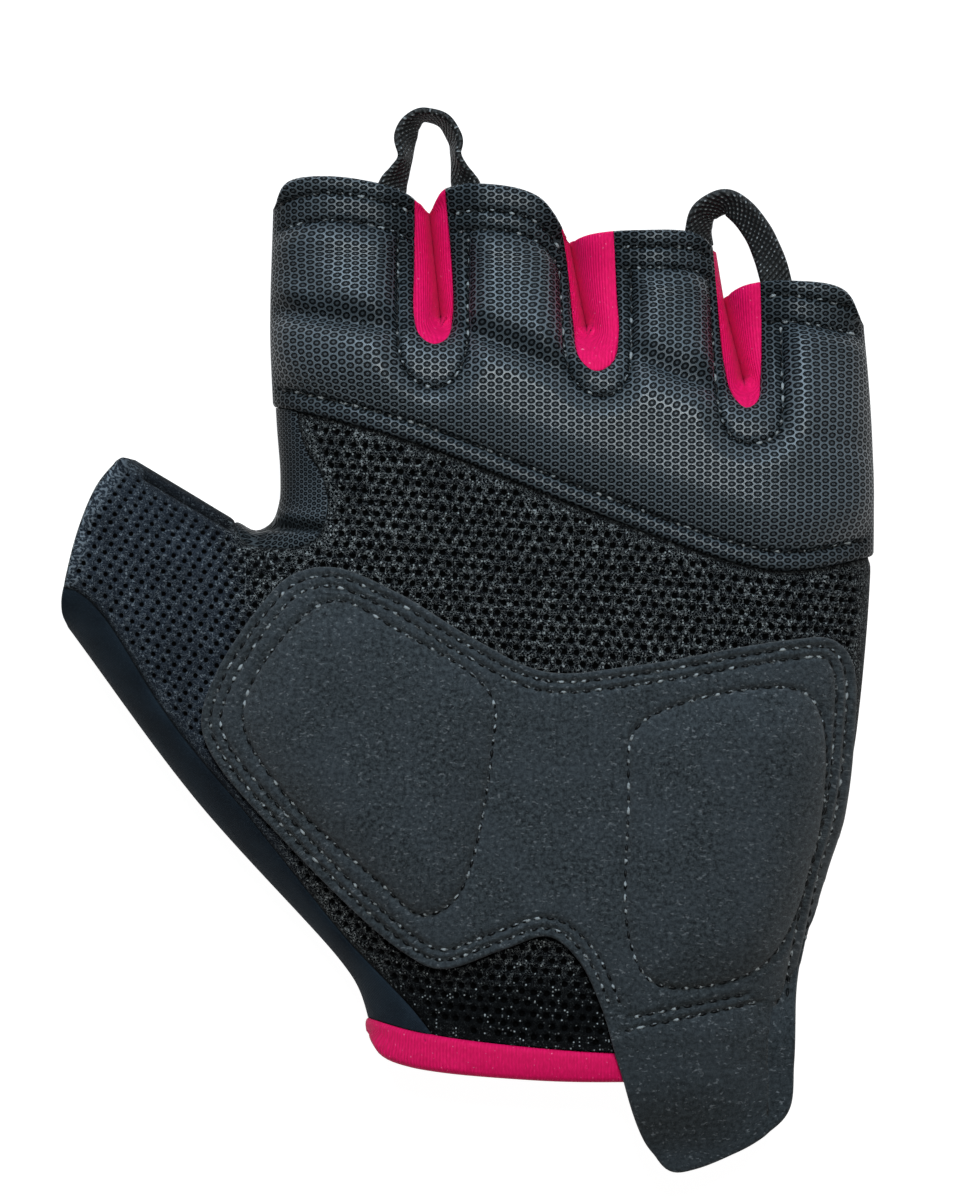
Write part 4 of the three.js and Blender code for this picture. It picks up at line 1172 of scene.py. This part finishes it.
def cloth(name, shape, material, wall=WALL, round_end=0.3, form=form, marks=()):
    """One cloth of the glove over its part of the form, rounded at the glove's open ends.

    A mark tells the material a share at each place of the outer face."""
    used, faces = np.unique(form.faces_of(name), return_inverse=True)
    spots = Spots(form.spots.xy[used % form.count])
    normals = form.normals[used]
    outer = form.points[used] + normals * shape(spots)[:, None]
    outer[:, 2] = np.maximum(outer[:, 2], 0)
    inner = form.points[used] - normals * wall
    at_end = spots.far_from(*rims, thumb_end, wrist_end) < 0.02
    bulge = np.where(at_end, round_end, SEAM_INSET)
    piece = shell(name + "_cloth", faces.reshape(-1, 3), outer, inner, form.flat[used], material, bulge)
    for key, share_of in marks:
        share = np.zeros(len(piece.data.vertices), np.float32)
        share[:len(used)] = share_of(spots)
        attribute = piece.data.attributes.new(key, "FLOAT", "POINT")
        attribute.data.foreach_set("value", share)
    return stand_for(piece, name)


finger_panel = cloth("finger_panel", leather_lift, LEATHER,
                     marks=[("shade", leather_shade)])
crotch_patch = cloth("crotch_patch", crotch_lift, CROTCH_LEATHER,
                     marks=[("shade", crotch_shade)])
palm_mesh = cloth("palm_mesh", mesh_lift, AIR_MESH, marks=[
    ("hole", hole_share), ("beside", beside_hole), ("end", near_thumb_end), ("shade", mesh_shade),
    ("thumb", lambda spots: spots.thumb)])
back_panel = cloth("back_panel", back_lift, STRETCH, form=back_form)
cuff_binding = cloth("cuff_binding", binding_lift, LYCRA, WALL + BINDING_PROUD, 0.8)
gussets = [cloth(slot["name"], gusset_lift, WEB_LYCRA_PAINTED_BRIGHTER) for slot in SLOTS]


# Heel overlay

def heel_base(points):
    """Level under the overlay: the palm's front, which it leaves to run straight on as the tab."""
    edge_y = np.interp(points[:, 0], wrist_end[:, 0], wrist_end[:, 1])
    past = np.clip((edge_y - points[:, 1]) / (edge_y - TAB["low"]), 0, 1)
    leaving = ease((TAB["leave"] - points[:, 1]) / TAB["leave_over"])
    side_x = np.interp(-points[:, 1], -little_side[:, 1], little_side[:, 0]) - TAB["clear"] * leaving
    on_palm = np.column_stack([np.minimum(points[:, 0] - TAB["lean"] * past, side_x - 0.05),
                               np.maximum(points[:, 1], edge_y)])
    return mix(Spots(on_palm).front, TAB["level"], ease(past * TAB["bend"]))


def heel_plan():
    lines = [(heel_line, True)]
    lines += [(sideways(heel_line, -ring), True) for ring in HEEL["edge_rings"]]
    lines += row_lines(heel_seams)

    def keep_off(grid):
        clear_of_edge = nearest(grid, [loop_of(heel_line)[::2]])[0] > 0.9
        clear_of_row = nearest(grid, [row[::2] for row in heel_seams])[0] > ROW_RINGS[-1] + GRID / 2
        return clear_of_edge & clear_of_row & inside(grid, heel_line)

    places, triangles = triangulate(lines, grid_over(heel_line, GRID), keep_off)
    triangles = upward(places, triangles)
    return places, triangles[inside(places[triangles].mean(axis=1), heel_line)]


def heel_surface(points):
    """Place and normal on the overlay's underside at plan points."""
    normal = slope_normals(heel_base, points, 0.25)
    over_binding = ease((6 - above(points, binding_line)) / 3.5)
    clear = GAP + over_binding * (BINDING_PROUD + 0.25)
    return np.column_stack([points, heel_base(points)]) + normal * clear[:, None], normal


def heel_patch():
    places, triangles = heel_plan()
    under, normal = heel_surface(places)
    outer = under + normal * (HEEL["cloth"] + heel_lift(Spots(places)))[:, None]
    bulge = np.full(len(places), 0.12)
    piece = shell("heel_patch_suede", triangles, outer, under, places, SUEDE, bulge)
    return stand_for(piece, "heel_patch")


heel = heel_patch()


# Pull loops

def pull_loop(name, stations):
    """Webbing swept along its middle line, turning as it goes."""
    stations = np.array(stations, float)
    line = smooth(stations, 0.35)
    middle, turn = line[:, :3], np.radians(line[:, 3])
    forward = unit(np.gradient(middle, axis=0))
    flat = unit(np.cross((0, 0, 1), forward))
    up = np.cross(forward, flat)
    wide = flat * np.cos(turn)[:, None] + up * np.sin(turn)[:, None]
    thick = np.cross(forward, wide)
    half_width, half_thick = WEBBING["width"] / 2, WEBBING["thickness"] / 2
    columns = WEBBING["columns"]
    across = np.concatenate([np.linspace(-1, 1, columns), np.linspace(1, -1, columns)])
    height = np.repeat((1.0, -1.0), columns)
    height *= np.where(np.abs(across) > 0.99, WEBBING["edge"], 1.0)
    count = len(across)
    points, places = [], []
    length = length_along(middle)
    for a, h in zip(across, height):
        points.append(middle + wide * a * half_width + thick * h * half_thick)
        places.append(np.column_stack([np.full(len(length), a * half_width), length]))
    points = np.stack(points, axis=1).reshape(-1, 3)
    places = np.stack(places, axis=1).reshape(-1, 2)
    rings = len(middle)
    faces = []
    for start in range(0, (rings - 1) * count, count):
        for k in range(count):
            a, b = start + k, start + (k + 1) % count
            faces.append((b, a, a + count, b + count))
    for low in range(columns - 1):
        high = count - 1 - low
        end = (rings - 1) * count
        faces.append((low, low + 1, high - 1, high))
        faces.append((end + high, end + high - 1, end + low + 1, end + low))
    piece = make_object(name + "_tape", points, np.array(faces), places, TAPE)
    return stand_for(piece, name)


for loop in LOOPS:
    pull_loop(**loop)


# Stitches

def on_front(shape):
    """Place and normal on the outer face of a cloth at plan points."""
    def surface(points):
        spots = Spots(points)
        normal = slope_normals(lambda places: Spots(places).front, points, 0.2)
        return np.column_stack([points, spots.front]) + normal * shape(spots)[:, None], normal
    return surface


def on_heel(points):
    place, normal = heel_surface(points)
    return place + normal * (HEEL["cloth"] + heel_lift(Spots(points)))[:, None], normal


leather_thread = stitch_rows("leather_stitches", leather_seams, on_front(leather_lift), THREAD,
                             STITCH_PITCH["leather"])
heel_thread = stitch_rows("heel_stitches", heel_seams, on_heel, THREAD, STITCH_PITCH["heel"])
for piece in (leather_thread, heel_thread):
    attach(piece, "root")


# Floor, light and camera

def plain_floor():
    mesh = bpy.data.meshes.new("floor")
    reach = 1.6
    corners = [(-reach, -reach, 0), (reach, -reach, 0), (reach, reach, 0), (-reach, reach, 0)]
    mesh.from_pydata(corners, [], [(0, 1, 2, 3)])
    material = bpy.data.materials.new("pale floor")
    material.use_nodes = True
    shader = material.node_tree.nodes["Principled BSDF"]
    shader.inputs["Base Color"].default_value = (0.2, 0.2, 0.2, 1)
    shader.inputs["Roughness"].default_value = 0.9
    shader.inputs["Specular IOR Level"].default_value = 0.0
    shader.inputs["Emission Color"].default_value = (1, 1, 1, 1)
    shader.inputs["Emission Strength"].default_value = 0.98
    mesh.materials.append(material)
    floor = placed("floor", mesh)


def area_light(name, place, size, power, colour):
    """A round light that looks at the middle of the glove."""
    data = bpy.data.lights.new(name, "AREA")
    data.shape = "DISK"
    data.size = size
    data.energy = power
    data.color = colour
    lamp = placed(name, data, place)
    lamp.rotation_euler = (-Vector(place)).to_track_quat("-Z", "Y").to_euler()


def studio():
    world = bpy.data.worlds.new("studio")
    world.use_nodes = True
    background = world.node_tree.nodes["Background"]
    background.inputs["Color"].default_value = (1, 1, 1, 1)
    background.inputs["Strength"].default_value = 0.10
    bpy.context.scene.world = world
    for light in LIGHTS:
        area_light(**light)


def camera():
    """Straight above the palm, far off with a long lens."""
    data = bpy.data.cameras.new("camera")
    data.sensor_fit = "VERTICAL"
    data.sensor_height = 36.0
    data.lens = data.sensor_height * SHOT["distance"] / (SHOT["rows"] * SHOT["pixel"])
    data.clip_end = 10
    place = np.array([*SHOT["centre"], SHOT["distance"] + SHOT["level"]]) * MM
    bpy.context.scene.camera = placed("camera", data, place)


plain_floor()
studio()
camera()
bpy.context.scene.view_settings.view_transform = "Standard"
